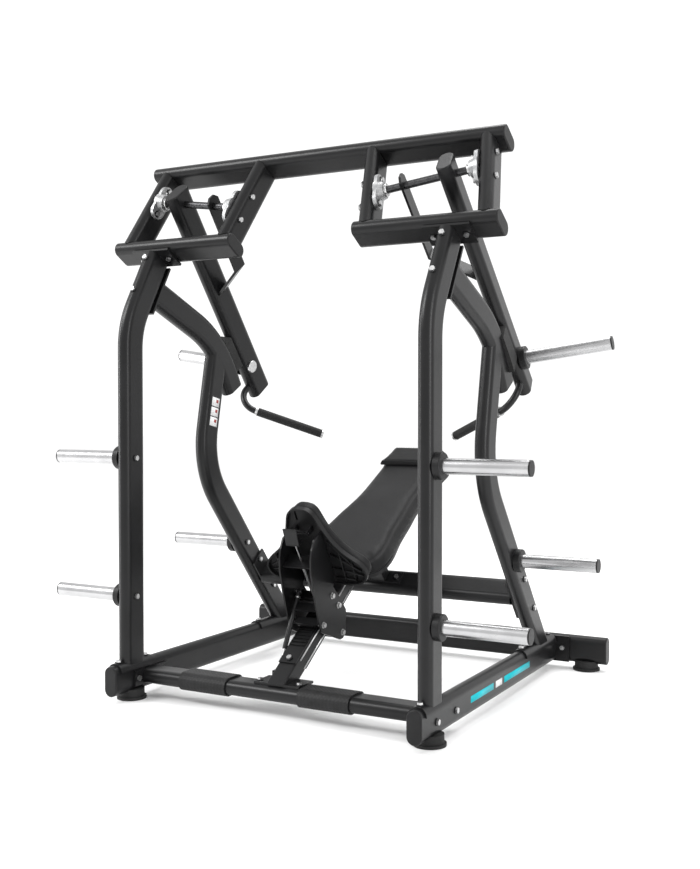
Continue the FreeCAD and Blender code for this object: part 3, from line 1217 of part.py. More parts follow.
# ---------------------------------------------------------------- build and export
build_base()
build_foot_grips()
build_feet()
saddle_parts = build_front_uprights()
build_rear_uprights(saddle_parts)
build_arches()
build_beams()
build_bearing_tubes()
build_flanges()
build_upper_crossbar()
cap = cap_master("tube_cap")
build_caps(cap)
build_storage_horns()
for lever_side in (LEFT, RIGHT):
    build_lever(lever_side, cap)
build_bearings()
build_lever_stops()
build_post()
build_backrest()
cross_plates, carriage_pins = build_carriage()
build_seat()
paddle_lugs, paddle_hinge = build_release()
gas_top_pin, gas_low_pin = build_gas_spring()
nodes["carriage_cross_plates"] = group("carriage_cross_plates", cross_plates + paddle_lugs)
nodes["carriage_bolts"] = group("carriage_bolts", carriage_pins + [paddle_hinge, gas_top_pin])
for node_name in list(nodes):
    nodes[node_name] = drilled(node_name, nodes[node_name])
build_fasteners()
doc.recompute()

for obj in doc.Objects:
    if "Invalid" in obj.State or "Error" in obj.State:
        raise RuntimeError(f"{obj.Label} did not compute: {obj.State}")
for node_name, obj in nodes.items():
    shape = obj.Shape
    if shape.isNull() or not shape.isValid() or not shape.Solids:
        raise RuntimeError(f"{node_name} has no valid solid")
    shape.exportStep(f"parts/{node_name}.step")
    print(f"{node_name}: {len(shape.Solids)} solids, {shape.Volume / 1000:.1f} cm3")
print(len(nodes), "nodes")
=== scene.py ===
import bpy, bmesh
import json
import math
from mathutils import Matrix, Vector
from mathutils.bvhtree import BVHTree
from mathutils.kdtree import KDTree


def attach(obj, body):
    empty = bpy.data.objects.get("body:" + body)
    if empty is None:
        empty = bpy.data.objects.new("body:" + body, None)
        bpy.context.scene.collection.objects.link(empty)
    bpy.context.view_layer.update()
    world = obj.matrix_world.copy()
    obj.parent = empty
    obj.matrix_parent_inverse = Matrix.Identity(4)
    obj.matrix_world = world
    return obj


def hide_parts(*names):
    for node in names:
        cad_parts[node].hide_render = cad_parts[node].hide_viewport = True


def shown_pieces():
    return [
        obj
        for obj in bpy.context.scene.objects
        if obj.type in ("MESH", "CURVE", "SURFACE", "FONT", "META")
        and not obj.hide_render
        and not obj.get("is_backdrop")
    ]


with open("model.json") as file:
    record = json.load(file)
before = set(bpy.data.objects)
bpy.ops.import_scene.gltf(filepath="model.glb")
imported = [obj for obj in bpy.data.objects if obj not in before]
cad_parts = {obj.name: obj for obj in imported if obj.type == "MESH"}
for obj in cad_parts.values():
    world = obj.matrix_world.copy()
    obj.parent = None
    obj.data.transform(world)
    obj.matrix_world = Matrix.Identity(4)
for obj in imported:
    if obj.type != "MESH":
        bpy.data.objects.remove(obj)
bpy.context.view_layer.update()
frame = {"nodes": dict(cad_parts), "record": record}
nodes = frame["nodes"]


# ---------------------------------------------------------------- materials
class Graph:
    """A material and its node tree, with short calls for adding and linking nodes."""

    def __init__(self, name, roughness=0.5, metallic=0.0, **settings):
        self.material = bpy.data.materials.new(name)
        self.material.use_nodes = True
        self.tree = self.material.node_tree
        self.shader = self.tree.nodes["Principled BSDF"]
        self.shader.inputs["Roughness"].default_value = roughness
        self.shader.inputs["Metallic"].default_value = metallic
        for socket, value in settings.items():
            self.shader.inputs[socket.replace("_", " ")].default_value = value
        place = self.tree.nodes.new("ShaderNodeTexCoord")
        self.place = place.outputs["Object"]

    def add(self, kind, inputs=None, **properties):
        node = self.tree.nodes.new(f"ShaderNode{kind}")
        for key, value in properties.items():
            setattr(node, key, value)
        for key, value in (inputs or {}).items():
            if isinstance(value, bpy.types.NodeSocket):
                self.tree.links.new(value, node.inputs[key])
            else:
                node.inputs[key].default_value = value
        return node

    def noise(self, scale, detail=4.0, roughness=0.55, stretch=None):
        place = self.place
        if stretch:
            place = self.add("Mapping", {"Vector": place, "Scale": stretch}).outputs[0]
        return self.add("TexNoise", {"Vector": place, "Scale": scale, "Detail": detail,
                                     "Roughness": roughness}).outputs["Fac"]

    def cells(self, scale, feature="F1", randomness=1.0):
        return self.add("TexVoronoi", {"Vector": self.place, "Scale": scale, "Randomness": randomness},
                        feature=feature).outputs["Distance"]

    def ramp(self, value, low, high, start=0.0, end=1.0):
        return self.add("MapRange", {"Value": value, "From Min": start, "From Max": end,
                                     "To Min": low, "To Max": high}).outputs["Result"]

    def colour(self, value, first, second, start=0.3, end=0.7):
        node = self.add("ValToRGB", {"Fac": value})
        node.color_ramp.elements[0].position = start
        node.color_ramp.elements[0].color = (*first, 1)
        node.color_ramp.elements[1].position = end
        node.color_ramp.elements[1].color = (*second, 1)
        return node.outputs["Color"]

    def combine(self, operation, first, second):
        return self.add("Math", {0: first, 1: second}, operation=operation).outputs[0]

    def bump(self, height, strength, distance, normal=None):
        inputs = {"Height": height, "Strength": strength, "Distance": distance}
        if normal is not None:
            inputs["Normal"] = normal
        return self.add("Bump", inputs).outputs["Normal"]

    def set(self, socket, value):
        self.tree.links.new(value, self.shader.inputs[socket])
        return self


def powder_coat():
    """Satin black powder coat: orange peel and faint mottling."""
    g = Graph("powder_coat", Specular_IOR_Level=0.24)
    mottle = g.noise(7, 3)
    g.set("Base Color", g.colour(mottle, (0.0055, 0.0055, 0.0058), (0.0085, 0.0085, 0.009)))
    g.set("Roughness", g.ramp(g.noise(55, 4), 0.27, 0.36))
    peel = g.combine("ADD", g.noise(620, 2), g.ramp(g.cells(900, "SMOOTH_F1"), 0, 0.5))
    return g.set("Normal", g.bump(peel, 0.22, 0.0004)).material


def moulded_plastic(name, low, high, roughness):
    g = Graph(name, Specular_IOR_Level=0.2)
    g.set("Base Color", g.colour(g.noise(18, 3), low, high))
    g.set("Roughness", g.ramp(g.noise(90, 3), roughness - 0.05, roughness + 0.08))
    return g.set("Normal", g.bump(g.noise(1500, 3, 0.7), 0.3, 0.0003)).material


def rubber(name, low, high, grain):
    g = Graph(name, Specular_IOR_Level=0.3)
    g.set("Base Color", g.colour(g.noise(25, 5), low, high))
    g.set("Roughness", g.ramp(g.noise(140, 4), 0.58, 0.78))
    pores = g.combine("MULTIPLY", g.cells(grain, "F1"), g.noise(grain * 0.6, 2))
    return g.set("Normal", g.bump(pores, 0.45, 0.0006)).material


def plated_tube():
    """Satin plating: long drawn lines along the horn, cloudy roughness and rub marks round it."""
    g = Graph("plated_tube", metallic=1.0)
    lines = g.noise(240, 3, 0.6, stretch=(0.06, 1, 1))
    clouds = g.noise(14, 3, 0.5)
    g.set("Base Color", g.colour(clouds, (0.4, 0.4, 0.405), (0.47, 0.47, 0.475)))
    g.set("Roughness", g.ramp(g.combine("ADD", lines, clouds), 0.2, 0.3, 0.6, 1.4))
    return g.set("Normal", g.bump(lines, 0.03, 0.0002)).material


def zinc_steel(name, low, high, roughness=0.3):
    g = Graph(name, metallic=1.0)
    g.set("Base Color", g.colour(g.noise(160, 5), low, high))
    g.set("Roughness", g.ramp(g.noise(420, 4), roughness - 0.08, roughness + 0.14))
    return g.set("Normal", g.bump(g.noise(900, 4), 0.15, 0.0003)).material


def cast_iron():
    g = Graph("bearing_casting", metallic=0.85)
    g.set("Base Color", g.colour(g.noise(60, 6), (0.26, 0.265, 0.27), (0.5, 0.5, 0.5)))
    g.set("Roughness", g.ramp(g.noise(200, 5), 0.32, 0.55))
    return g.set("Normal", g.bump(g.noise(380, 6, 0.7), 0.55, 0.0012)).material


def vinyl():
    """Black upholstery vinyl: pebbled grain, creases between the pebbles, a little sheen."""
    g = Graph("vinyl", Sheen_Weight=0.01, Sheen_Roughness=0.4, Specular_IOR_Level=0.12)
    tone = g.noise(12, 4)
    g.set("Base Color", g.colour(tone, (0.0065, 0.0065, 0.0068), (0.0105, 0.0105, 0.011)))
    pebbles = g.cells(520, "SMOOTH_F1")
    creases = g.ramp(g.cells(520, "DISTANCE_TO_EDGE"), 0, 1, 0.0, 0.12)
    g.set("Roughness", g.ramp(creases, 0.62, 0.42))
    fine = g.bump(g.noise(1700, 3), 0.18, 0.0003)
    return g.set("Normal", g.bump(g.combine("SUBTRACT", creases, pebbles), 0.28, 0.0006, fine)).material


def ribbed_sleeve():
    """Foot-grip sleeve: moulded plastic with raised lozenges across its faces."""
    g = Graph("ribbed_sleeve", Specular_IOR_Level=0.2)
    g.set("Base Color", g.colour(g.noise(30, 4), (0.008, 0.008, 0.008), (0.015, 0.015, 0.0155)))
    g.set("Roughness", g.ramp(g.noise(120, 4), 0.42, 0.58))
    turned = g.add("Mapping", {"Vector": g.place, "Rotation": (0, 0, math.radians(45))}).outputs[0]
    lozenges = g.add("TexVoronoi", {"Vector": turned, "Scale": 105, "Randomness": 0.0},
                     distance="CHEBYCHEV").outputs["Distance"]
    return g.set("Normal", g.bump(g.ramp(lozenges, 1, 0, 0.2, 0.5), 0.5, 0.0012)).material


def seam_thread():
    g = Graph("seam_thread", roughness=0.7)
    twist = g.noise(1900, 2, 0.5)
    g.set("Base Color", g.colour(twist, (0.01, 0.01, 0.01), (0.035, 0.035, 0.036)))
    return g.set("Normal", g.bump(twist, 0.6, 0.0005)).material


LOOKS = {
    "frame_paint": powder_coat(),
    "plastic_black": moulded_plastic("moulded_plastic", (0.007, 0.007, 0.0073), (0.012, 0.012, 0.0125), 0.4),
    "rubber_black": rubber("rubber", (0.008, 0.008, 0.008), (0.015, 0.015, 0.015), 700),
    "horn_chrome": plated_tube(),
    "bright_steel": zinc_steel("zinc_steel", (0.42, 0.42, 0.43), (0.64, 0.64, 0.63)),
    "bearing_iron": cast_iron(),
    "upholstery": vinyl(),
    "washer_black": zinc_steel("black_oxide", (0.02, 0.02, 0.021), (0.05, 0.05, 0.052), 0.4),
    "gas_black": moulded_plastic("gas_tube_paint", (0.011, 0.011, 0.011), (0.016, 0.016, 0.017), 0.24),
}
THREAD = seam_thread()
SLEEVE = ribbed_sleeve()
WHITE = moulded_plastic("white_label", (0.6, 0.6, 0.6), (0.7, 0.7, 0.7), 0.35)
BLUE = moulded_plastic("blue_film", (0.006, 0.36, 0.42), (0.009, 0.42, 0.48), 0.35)
ACCENT = moulded_plastic("label_block", (0.25, 0.03, 0.025), (0.3, 0.04, 0.03), 0.35)
AXLE = zinc_steel("dark_axle_steel", (0.035, 0.035, 0.037), (0.09, 0.09, 0.092), 0.34)

slots = {part["node"]: part["material_slot"] for part in frame["record"]["subparts"]}
SPECIAL = {"axle_left": AXLE, "axle_right": AXLE, "foot_grips": SLEEVE}
for name, obj in nodes.items():
    obj.data.materials.clear()
    obj.data.materials.append(SPECIAL.get(name, LOOKS[slots[name]]))


# ---------------------------------------------------------------- mesh helpers
def add_piece(name, mesh, look, body):
    """A piece of the visual model: its mesh in the row frame, riding on a CAD body."""
    obj = bpy.data.objects.new(name, mesh)
    bpy.context.scene.collection.objects.link(obj)
    mesh.materials.clear()
    mesh.materials.append(look)
    for face in mesh.polygons:
        face.use_smooth = True
    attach(obj, body)
    return obj


def ring_points(sides):
    """The cosine and sine of each corner of a ring."""
    turns = (2 * math.pi * k / sides for k in range(sides))
    return [(math.cos(turn), math.sin(turn)) for turn in turns]


def join_rings(work, first, second):
    sides = len(first)
    for k in range(sides):
        work.faces.new((first[k], first[(k + 1) % sides], second[(k + 1) % sides], second[k]))


def close_ends(work, rings):
    work.faces.new(reversed(rings[0]))
    work.faces.new(rings[-1])


def sweep(work, points, radius, sides=8, closed=True):
    """A round bead along the points, with radius(index) at each; added to the bmesh."""
    count = len(points)
    rings = []
    side = None
    for index, point in enumerate(points):
        ahead = points[(index + 1) % count] if closed or index < count - 1 else point
        behind = points[index - 1] if closed or index else point
        along = (ahead - behind).normalized()
        if side is None:
            side = along.orthogonal().normalized()
        side = (side - along * side.dot(along)).normalized()
        other = along.cross(side)
        reach = radius(index)
        rings.append([work.verts.new(point + (side * cosine + other * sine) * reach)
                      for cosine, sine in ring_points(sides)])
    for index in range(count if closed else count - 1):
        join_rings(work, rings[index], rings[(index + 1) % count])
    if not closed:
        close_ends(work, rings)


def lathe(work, place, profile, sides=32):
    """Turn a profile of (radius, height) pairs round the placement's z axis; added to the bmesh."""
    rings = [[work.verts.new(place @ Vector((radius * cosine, radius * sine, height)))
              for cosine, sine in ring_points(sides)] for radius, height in profile]
    for first, second in zip(rings, rings[1:]):
        join_rings(work, first, second)
    close_ends(work, rings)


def finished(work, name, look, body):
    """Turn a filled bmesh into a piece of the visual model."""
    bmesh.ops.recalc_face_normals(work, faces=work.faces)
    mesh = bpy.data.meshes.new(name)
    work.to_mesh(mesh)
    work.free()
    return add_piece(name, mesh, look, body)


def chains(edges):
    """The edges joined end to end, as lists of vertices, always from the same first edge."""
    left = dict.fromkeys(edges)
    found = []
    while left:
        edge = next(iter(left))
        del left[edge]
        line = [edge.verts[0], edge.verts[1]]
        growing = True
        while growing:
            growing = False
            for following in line[-1].link_edges:
                if following in left:
                    del left[following]
                    line.append(following.other_vert(line[-1]))
                    growing = True
                    break
        found.append(line)
    return found


def evenly(points, step):
    """Points at even spacing round a closed line."""
    points = points + points[:1]
    lengths = [(b - a).length for a, b in zip(points, points[1:])]
    count = max(8, round(sum(lengths) / step))
    spacing = sum(lengths) / count
    result, index, walked = [], 0, 0.0
    for number in range(count):
        target = number * spacing
        while walked + lengths[index] < target:
            walked += lengths[index]
            index += 1
        share = (target - walked) / lengths[index]
        result.append(points[index].lerp(points[index + 1], share))
    return result


def surface_of(name):
    """A CAD node's surface, for finding the nearest point or where a ray lands."""
    work = bmesh.new()
    work.from_mesh(nodes[name].data)
    tree = BVHTree.FromBMesh(work)
    work.free()
    return tree


def frame_on(origin, axis):
    """A placement whose z runs along the axis."""
    return Matrix.Translation(origin) @ Vector(axis).to_track_quat("Z", "Y").to_matrix().to_4x4()


# ---------------------------------------------------------------- upholstery
COVERS = {
    "back_pad": {"body": "frame", "cell": 0.0055, "swell": 0.007, "rounds": 14},
    "headrest_pad": {"body": "frame", "cell": 0.0045, "swell": 0.0025, "rounds": 2},
    "seat_cushion": {"body": "seat_carriage", "cell": 0.0055, "swell": 0.006, "rounds": 14},
}
COVER_INSET = 0.003
STAPLED_STRIP = 0.009
FOAM_FRAMES = 20
SEAM_DEPTH = 0.0022
SEAM_REACH = 0.011
STITCH_STEP = 0.004


def remeshed(name, voxel):
    """The CAD pad's mesh as even small quads, drawn in a little so that it can swell."""
    obj = bpy.data.objects.new(f"{name}_cover", nodes[name].data.copy())
    bpy.context.scene.collection.objects.link(obj)
    cells = obj.modifiers.new("cells", "REMESH")
    cells.mode = "VOXEL"
    cells.voxel_size = voxel
    soft = obj.modifiers.new("soften", "SMOOTH")
    soft.factor = 0.5
    soft.iterations = 2
    bpy.context.view_layer.update()
    ready = bpy.data.meshes.new_from_object(obj.evaluated_get(bpy.context.evaluated_depsgraph_get()))
    obj.modifiers.clear()
    obj.data = ready
    normals = [v.normal.copy() for v in ready.vertices]
    for vertex, normal in zip(ready.vertices, normals):
        vertex.co -= normal * COVER_INSET
    return obj


def facing(name):
    """The direction that the pad's biggest flat face looks in, away from its board."""
    biggest = {}
    for face in nodes[name].data.polygons:
        key = tuple(round(n, 2) for n in face.normal)
        biggest[key] = biggest.get(key, 0) + face.area
    flat = sorted(biggest, key=biggest.get)[-2:]
    return max((Vector(k) for k in flat), key=lambda n: n.z if name != "seat_cushion" else n.y).normalized()


def hold_underside(obj, up):
    """Pin the cover where it is stapled to its board."""
    lowest = min(v.co.dot(up) for v in obj.data.vertices)
    group = obj.vertex_groups.new(name="stapled")
    for vertex in obj.data.vertices:
        if vertex.co.dot(up) - lowest < STAPLED_STRIP:
            group.add([vertex.index], 1.0, "REPLACE")


def relax(obj, times):
    """Even out small puckers, as foam under stretched vinyl does."""
    work = bmesh.new()
    work.from_mesh(obj.data)
    for _ in range(times):
        bmesh.ops.smooth_vert(work, verts=work.verts, factor=0.5, use_axis_x=True, use_axis_y=True,
                              use_axis_z=True)
    work.to_mesh(obj.data)
    work.free()


def fill_with_foam(covers):
    """Blow each cover up as cloth over its foam, then keep what it moved within its swell."""
    start = {name: [v.co.copy() for v in obj.data.vertices] for name, obj in covers.items()}
    for obj in covers.values():
        cloth = obj.modifiers.new("cloth", "CLOTH")
        cloth.settings.quality = 5
        cloth.settings.mass = 0.35
        cloth.settings.tension_stiffness = 18
        cloth.settings.compression_stiffness = 18
        cloth.settings.bending_stiffness = 6
        cloth.settings.use_pressure = True
        cloth.settings.uniform_pressure_force = 4
        cloth.settings.vertex_group_mass = "stapled"
        cloth.settings.effector_weights.gravity = 0
        cloth.collision_settings.use_collision = False
        cloth.point_cache.frame_start = 1
        cloth.point_cache.frame_end = FOAM_FRAMES
    for number in range(1, FOAM_FRAMES + 1):
        bpy.context.scene.frame_set(number)
    graph = bpy.context.evaluated_depsgraph_get()
    for name, obj in covers.items():
        limit = COVERS[name]["swell"]
        swollen = [v.co.copy() for v in obj.evaluated_get(graph).data.vertices]
        obj.modifiers.clear()
        for vertex, before, after in zip(obj.data.vertices, start[name], swollen):
            moved = after - before
            vertex.co = before + (moved * (limit / moved.length) if moved.length > limit else moved)
        relax(obj, COVERS[name]["rounds"])
    bpy.context.scene.frame_set(1)


def rim_of(name, up):
    """The outline of the pad's top panel, where it is sewn to its side panels."""
    work = bmesh.new()
    work.from_mesh(nodes[name].data)
    bmesh.ops.remove_doubles(work, verts=work.verts, dist=1e-5)
    work.normal_update()
    top = {face for face in work.faces if face.normal.dot(up) > 0.999}
    edges = [e for e in work.edges if sum(face in top for face in e.link_faces) == 1]
    line = max(chains(edges), key=len)
    points = [v.co.copy() for v in line[:-1]]
    work.free()
    return evenly(points, STITCH_STEP)


def sew(obj, rim):
    """Draw the cover in along the seam, and give the seam's line as it lay before."""
    tree = BVHTree.FromObject(obj, bpy.context.evaluated_depsgraph_get())
    line = [tree.find_nearest(point)[0] for point in rim]
    near = KDTree(len(line))
    for index, point in enumerate(line):
        near.insert(point, index)
    near.balance()
    normals = [v.normal.copy() for v in obj.data.vertices]
    for vertex, normal in zip(obj.data.vertices, normals):
        away = near.find(vertex.co)[2]
        if away < SEAM_REACH:
            vertex.co -= normal * SEAM_DEPTH * (1 - (away / SEAM_REACH) ** 2) ** 2
    obj.data.update()
    return line


def stitch_row(name, cover, line, body):
    """Short raised stitches along the seam, each lying on the cover."""
    tree = BVHTree.FromObject(cover, bpy.context.evaluated_depsgraph_get())
    work = bmesh.new()
    for index in range(0, len(line) - 2, 2):
        spots = [tree.find_nearest(line[index].lerp(line[index + 1], share)) for share in (0.0, 0.5, 1.0)]
        ends = [spot[0] + spot[1] * (0.0002 if share != 0.5 else 0.0007)
                for spot, share in zip(spots, (0.0, 0.5, 1.0))]
        sweep(work, ends, lambda k: 0.00055 if k != 1 else 0.00075, sides=6, closed=False)
    return finished(work, f"{name}_stitches", THREAD, body)


def build_upholstery():
    """Soft covers with sewn seams, in place of the CAD's pads."""
    covers, ups = {}, {}
    for name, how in COVERS.items():
        covers[name] = remeshed(name, how["cell"])
        ups[name] = facing(name)
        hold_underside(covers[name], ups[name])
    fill_with_foam(covers)
    for name, cover in covers.items():
        body = COVERS[name]["body"]
        line = sew(cover, rim_of(name, ups[name]))
        finer = cover.modifiers.new("finer", "SUBSURF")
        finer.levels = finer.render_levels = 1
        cover.data.materials.clear()
        cover.data.materials.append(LOOKS["upholstery"])
        for face in cover.data.polygons:
            face.use_smooth = True
        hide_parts(name)
        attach(cover, body)
        stitch_row(name, cover, line, body)


# ---------------------------------------------------------------- welds
WELDS = [("bearing_tubes", "front_beams"), ("bearing_tubes", "top_beam"), ("seat_post", "post_bracket"),
         ("front_upright_left", "base_rail_left"), ("front_upright_right", "base_rail_right"),
         ("arch_left", "flange_plates"), ("arch_right", "flange_plates"),
         ("backrest_strut", "backrest_spine")]
WELD_RADIUS = 0.0031
WELD_RIPPLE = 0.0005
WELD_STEP = 0.0016


def weld_loops(first, second):
    """Closed edge loops of the first node that lie on the second node's surface."""
    tree = surface_of(second)
    work = bmesh.new()
    work.from_mesh(nodes[first].data)
    bmesh.ops.remove_doubles(work, verts=work.verts, dist=1e-5)
    touching = {v for v in work.verts if (tree.find_nearest(v.co)[3] or 1) < 0.0006}
    edges = [e for e in work.edges if e.verts[0] in touching and e.verts[1] in touching
             and len(e.link_faces) == 2 and e.calc_face_angle(0) > math.radians(30)]
    loops = [[v.co.copy() for v in line[:-1]] for line in chains(edges)
             if line[0] is line[-1] and len(line) > 6]
    work.free()
    outer = []
    for loop in sorted(loops, key=lambda points: -sum((b - a).length for a, b in zip(points, points[1:]))):
        middle = sum(loop, Vector()) / len(loop)
        if all((middle - other).length > 0.02 for other, _ in outer):
            outer.append((middle, loop))
    return [loop for _, loop in outer]


def build_welds():
    """Rippled beads where one painted tube is welded to another."""
    for first, second in WELDS:
        work = bmesh.new()
        for loop in weld_loops(first, second):
            sweep(work, evenly(loop, WELD_STEP), lambda k: WELD_RADIUS + WELD_RIPPLE * math.sin(k * 2.1))
        if len(work.verts):
            finished(work, f"weld_{first}_{second}", LOOKS["frame_paint"], "frame")
        else:
            work.free()


# ---------------------------------------------------------------- small parts
def slab(work, place, length, width, height, bevel=0.0004):
    """A thin box with softened edges, standing on the placement; added to the bmesh."""
    made = bmesh.ops.create_cube(work, size=1)["verts"]
    shape = place @ Matrix.Translation((0, 0, height / 2)) @ Matrix.Diagonal((length, width, height, 1))
    bmesh.ops.transform(work, matrix=shape, verts=made)
    edges = list(dict.fromkeys(edge for vertex in made for edge in vertex.link_edges))
    bmesh.ops.bevel(work, geom=edges, offset=bevel, segments=2, affect="EDGES")


def hinge_of(name):
    """A joint's place and direction, from the record."""
    joint = next(j for j in frame["record"]["behaviour"]["joints"] if j["name"] == name)
    return Vector(joint["pos_m"]), Vector(joint["axis"]).normalized()


def islands(name):
    """The separate solids of a node, each as a list of its vertices' places."""
    work = bmesh.new()
    work.from_mesh(nodes[name].data)
    bmesh.ops.remove_doubles(work, verts=work.verts, dist=1e-6)
    left = dict.fromkeys(work.verts)
    found = []
    while left:
        first = next(iter(left))
        del left[first]
        queue = [first]
        island = []
        while queue:
            vertex = queue.pop()
            island.append(vertex.co.copy())
            for edge in vertex.link_edges:
                other = edge.other_vert(vertex)
                if other in left:
                    del left[other]
                    queue.append(other)
        found.append(island)
    work.free()
    return found


def long_axis(points):
    """The middle, direction and half length of a long straight part."""
    middle = sum(points, Vector()) / len(points)
    far = max(points, key=lambda p: (p - middle).length)
    other = max(points, key=lambda p: (p - far).length)
    first_cap = [p for p in points if (p - far).length < 0.05]
    other_cap = [p for p in points if (p - other).length < 0.05]
    start = sum(first_cap, Vector()) / len(first_cap)
    end = sum(other_cap, Vector()) / len(other_cap)
    return (start + end) / 2, (end - start).normalized(), (end - start).length / 2


def build_bearing_inserts():
    """The bearing's inner ring with its locking collar and set screws, and a grease nipple."""
    for side in ("left", "right"):
        origin, axis = hinge_of(f"{side}_lever_swing")
        turning = bmesh.new()
        fixed = bmesh.new()
        for island in islands("bearing_housings"):
            if (sum(p.x for p in island) > 0) != (origin.x > 0):
                continue
            reach = [(p - origin).dot(axis) for p in island]
            outer = sum(reach) > 0
            face = min(reach) if outer else max(reach)
            toward = -axis if outer else axis
            place = frame_on(origin + axis * face, toward)
            lathe(turning, place, [(0.0128, -0.001), (0.021, -0.001), (0.021, 0.0085), (0.0195, 0.010),
                                   (0.0145, 0.010), (0.0128, 0.009)])
            for turn in (0.6, 2.7):
                screw = place @ Matrix.Rotation(turn, 4, "Z") @ Matrix.Translation((0.019, 0, 0.005))
                head = screw @ Matrix.Rotation(math.radians(90), 4, "Y")
                lathe(turning, head, [(0.003, 0), (0.003, 0.0035), (0.0024, 0.0042)], sides=6)
            spot = place @ Matrix.Rotation(1.4, 4, "Z") @ Matrix.Translation((0.028, 0, -0.014))
            nipple = spot @ Matrix.Rotation(math.radians(70), 4, "Y")
            lathe(fixed, nipple, [(0.0035, -0.004), (0.0035, 0.006), (0.002, 0.007), (0.003, 0.011),
                                  (0.0018, 0.013)], sides=16)
        finished(turning, f"bearing_inserts_{side}", LOOKS["bright_steel"], f"{side}_lever")
        finished(fixed, f"grease_nipples_{side}", LOOKS["bright_steel"], "frame")


GRIP_RIDGES = 34
GRIP_RADIUS = 0.0162


def build_grip_ridges():
    """Moulded rings along each rubber grip."""
    for side in ("left", "right"):
        middle, along, half = long_axis([v.co.copy() for v in nodes[f"hand_grip_{side}"].data.vertices])
        place = frame_on(middle, along)
        work = bmesh.new()
        for number in range(GRIP_RIDGES):
            height = (half - 0.012) * (2 * number / (GRIP_RIDGES - 1) - 1)
            ring = [place @ Vector((GRIP_RADIUS * cosine, GRIP_RADIUS * sine, height))
                    for cosine, sine in ring_points(28)]
            sweep(work, ring, lambda k: 0.0011, sides=6)
        finished(work, f"grip_ridges_{side}", LOOKS["rubber_black"], f"{side}_lever")


def build_gas_ends():
    """Plated end fittings at the two ends of the gas spring."""
    top, _ = hinge_of("gas_cylinder_tilt")
    low, _ = hinge_of("gas_rod_tilt")
    down = (low - top).normalized()
    upper = bmesh.new()
    lathe(upper, frame_on(top, down), [(0.0055, 0.007), (0.0075, 0.009), (0.0075, 0.017), (0.0092, 0.0185),
                                       (0.0092, 0.024), (0.0084, 0.025)])
    finished(upper, "gas_top_fitting", LOOKS["bright_steel"], "gas_cylinder")
    lower = bmesh.new()
    lathe(lower, frame_on(low, -down), [(0.0050, 0.006), (0.0066, 0.008), (0.0066, 0.020), (0.0046, 0.024)])
    finished(lower, "gas_low_fitting", LOOKS["bright_steel"], "gas_rod")


SEAT_CENTRE = Vector((0, -0.259, 0.461))
SEAT_UP = Vector((0, -0.480, 0.877))
SEAT_BEHIND = Vector((0, 0.877, 0.480))
SEAT_RIBS = [((0.074, 0.104), (0.150, 0.010)), ((0.070, 0.052), (0.178, -0.012)),
             ((0.070, -0.004), (0.182, -0.030)), ((0.072, -0.044), (0.150, -0.050)),
             ((0.108, 0.070), (0.108, -0.060)), ((0.148, 0.036), (0.148, -0.058))]


def build_seat_ribs():
    """Moulded ribs that stiffen the hollow front of the seat shell."""
    work = bmesh.new()
    for side in (-1, 1):
        for start, end in SEAT_RIBS:
            first = SEAT_CENTRE + Vector((side * start[0], 0, 0)) + SEAT_UP * start[1]
            last = SEAT_CENTRE + Vector((side * end[0], 0, 0)) + SEAT_UP * end[1]
            along = (last - first).normalized()
            turned = Matrix((along, SEAT_BEHIND.cross(along), SEAT_BEHIND)).transposed().to_4x4()
            place = Matrix.Translation((first + last) / 2) @ turned
            slab(work, place, (last - first).length, 0.0028, 0.0108, bevel=0.0006)
    finished(work, "seat_ribs", LOOKS["plastic_black"], "seat_carriage")


POST_FOOT = Vector((0, -0.434, 0.128))
POST_SLOPE = math.radians(34)
ALONG_POST = Vector((0, math.cos(POST_SLOPE), math.sin(POST_SLOPE)))
OFF_POST = Vector((0, -math.sin(POST_SLOPE), math.cos(POST_SLOPE)))


def build_painted_highlight_strips():
    """Thin bright steel strips on the sides of the seat post, under the carriage's side plates: painted
    highlights standing in for the light caught on the post's rounded corners.
    """
    work = bmesh.new()
    for side in (-1, 1):
        out = Vector((side, 0, 0))
        for off in (-0.021, 0.019):
            place = Matrix((ALONG_POST, out.cross(ALONG_POST), out)).transposed().to_4x4()
            middle = POST_FOOT + out * 0.0329 + ALONG_POST * 0.235 + OFF_POST * off
            slab(work, Matrix.Translation(middle) @ place, 0.39, 0.006, 0.0016)
    # bright strips as painted highlights along the post's rounded corners
    finished(work, "painted_highlight_strips", LOOKS["bright_steel"], "frame")


def build_marks():
    """A plain warning plate and plain stripes, with no lettering."""
    hit = surface_of("rear_upright_left").ray_cast(Vector((0, -0.090, 0.992)), Vector((-1, 0, 0)))[0]
    lean = Matrix.Rotation(math.radians(-11.5), 4, "X")
    place = Matrix.Translation(hit) @ lean @ Matrix.Rotation(math.radians(90), 4, "Y")
    plates = bmesh.new()
    blocks = bmesh.new()
    for number in (-1, 0, 1):
        panel = place @ Matrix.Translation((-0.038 * number, 0, 0))
        slab(plates, panel, 0.034, 0.046, 0.0004, bevel=0.0001)
        tile = panel @ Matrix.Translation((-0.004, 0.010, 0.0003))
        slab(blocks, tile, 0.012, 0.014, 0.0003, bevel=0.0001)
    finished(plates, "warning_plates", WHITE, "frame")
    finished(blocks, "warning_blocks", ACCENT, "frame")
    rail = surface_of("base_rail_right")
    stripes = {"blue": (BLUE, [(-0.29, -0.09), (0.01, 0.27)]), "white": (WHITE, [(-0.07, -0.01)])}
    for colour, (look, spans) in stripes.items():
        work = bmesh.new()
        for start, end in spans:
            side = rail.ray_cast(Vector((1, (start + end) / 2, 0.0775)), Vector((-1, 0, 0)))[0]
            flat = Matrix.Translation(side) @ Matrix.Rotation(math.radians(90), 4, "Y")
            slab(work, flat, 0.022, end - start, 0.0003, bevel=0.0001)
        finished(work, f"{colour}_stripe", look, "frame")


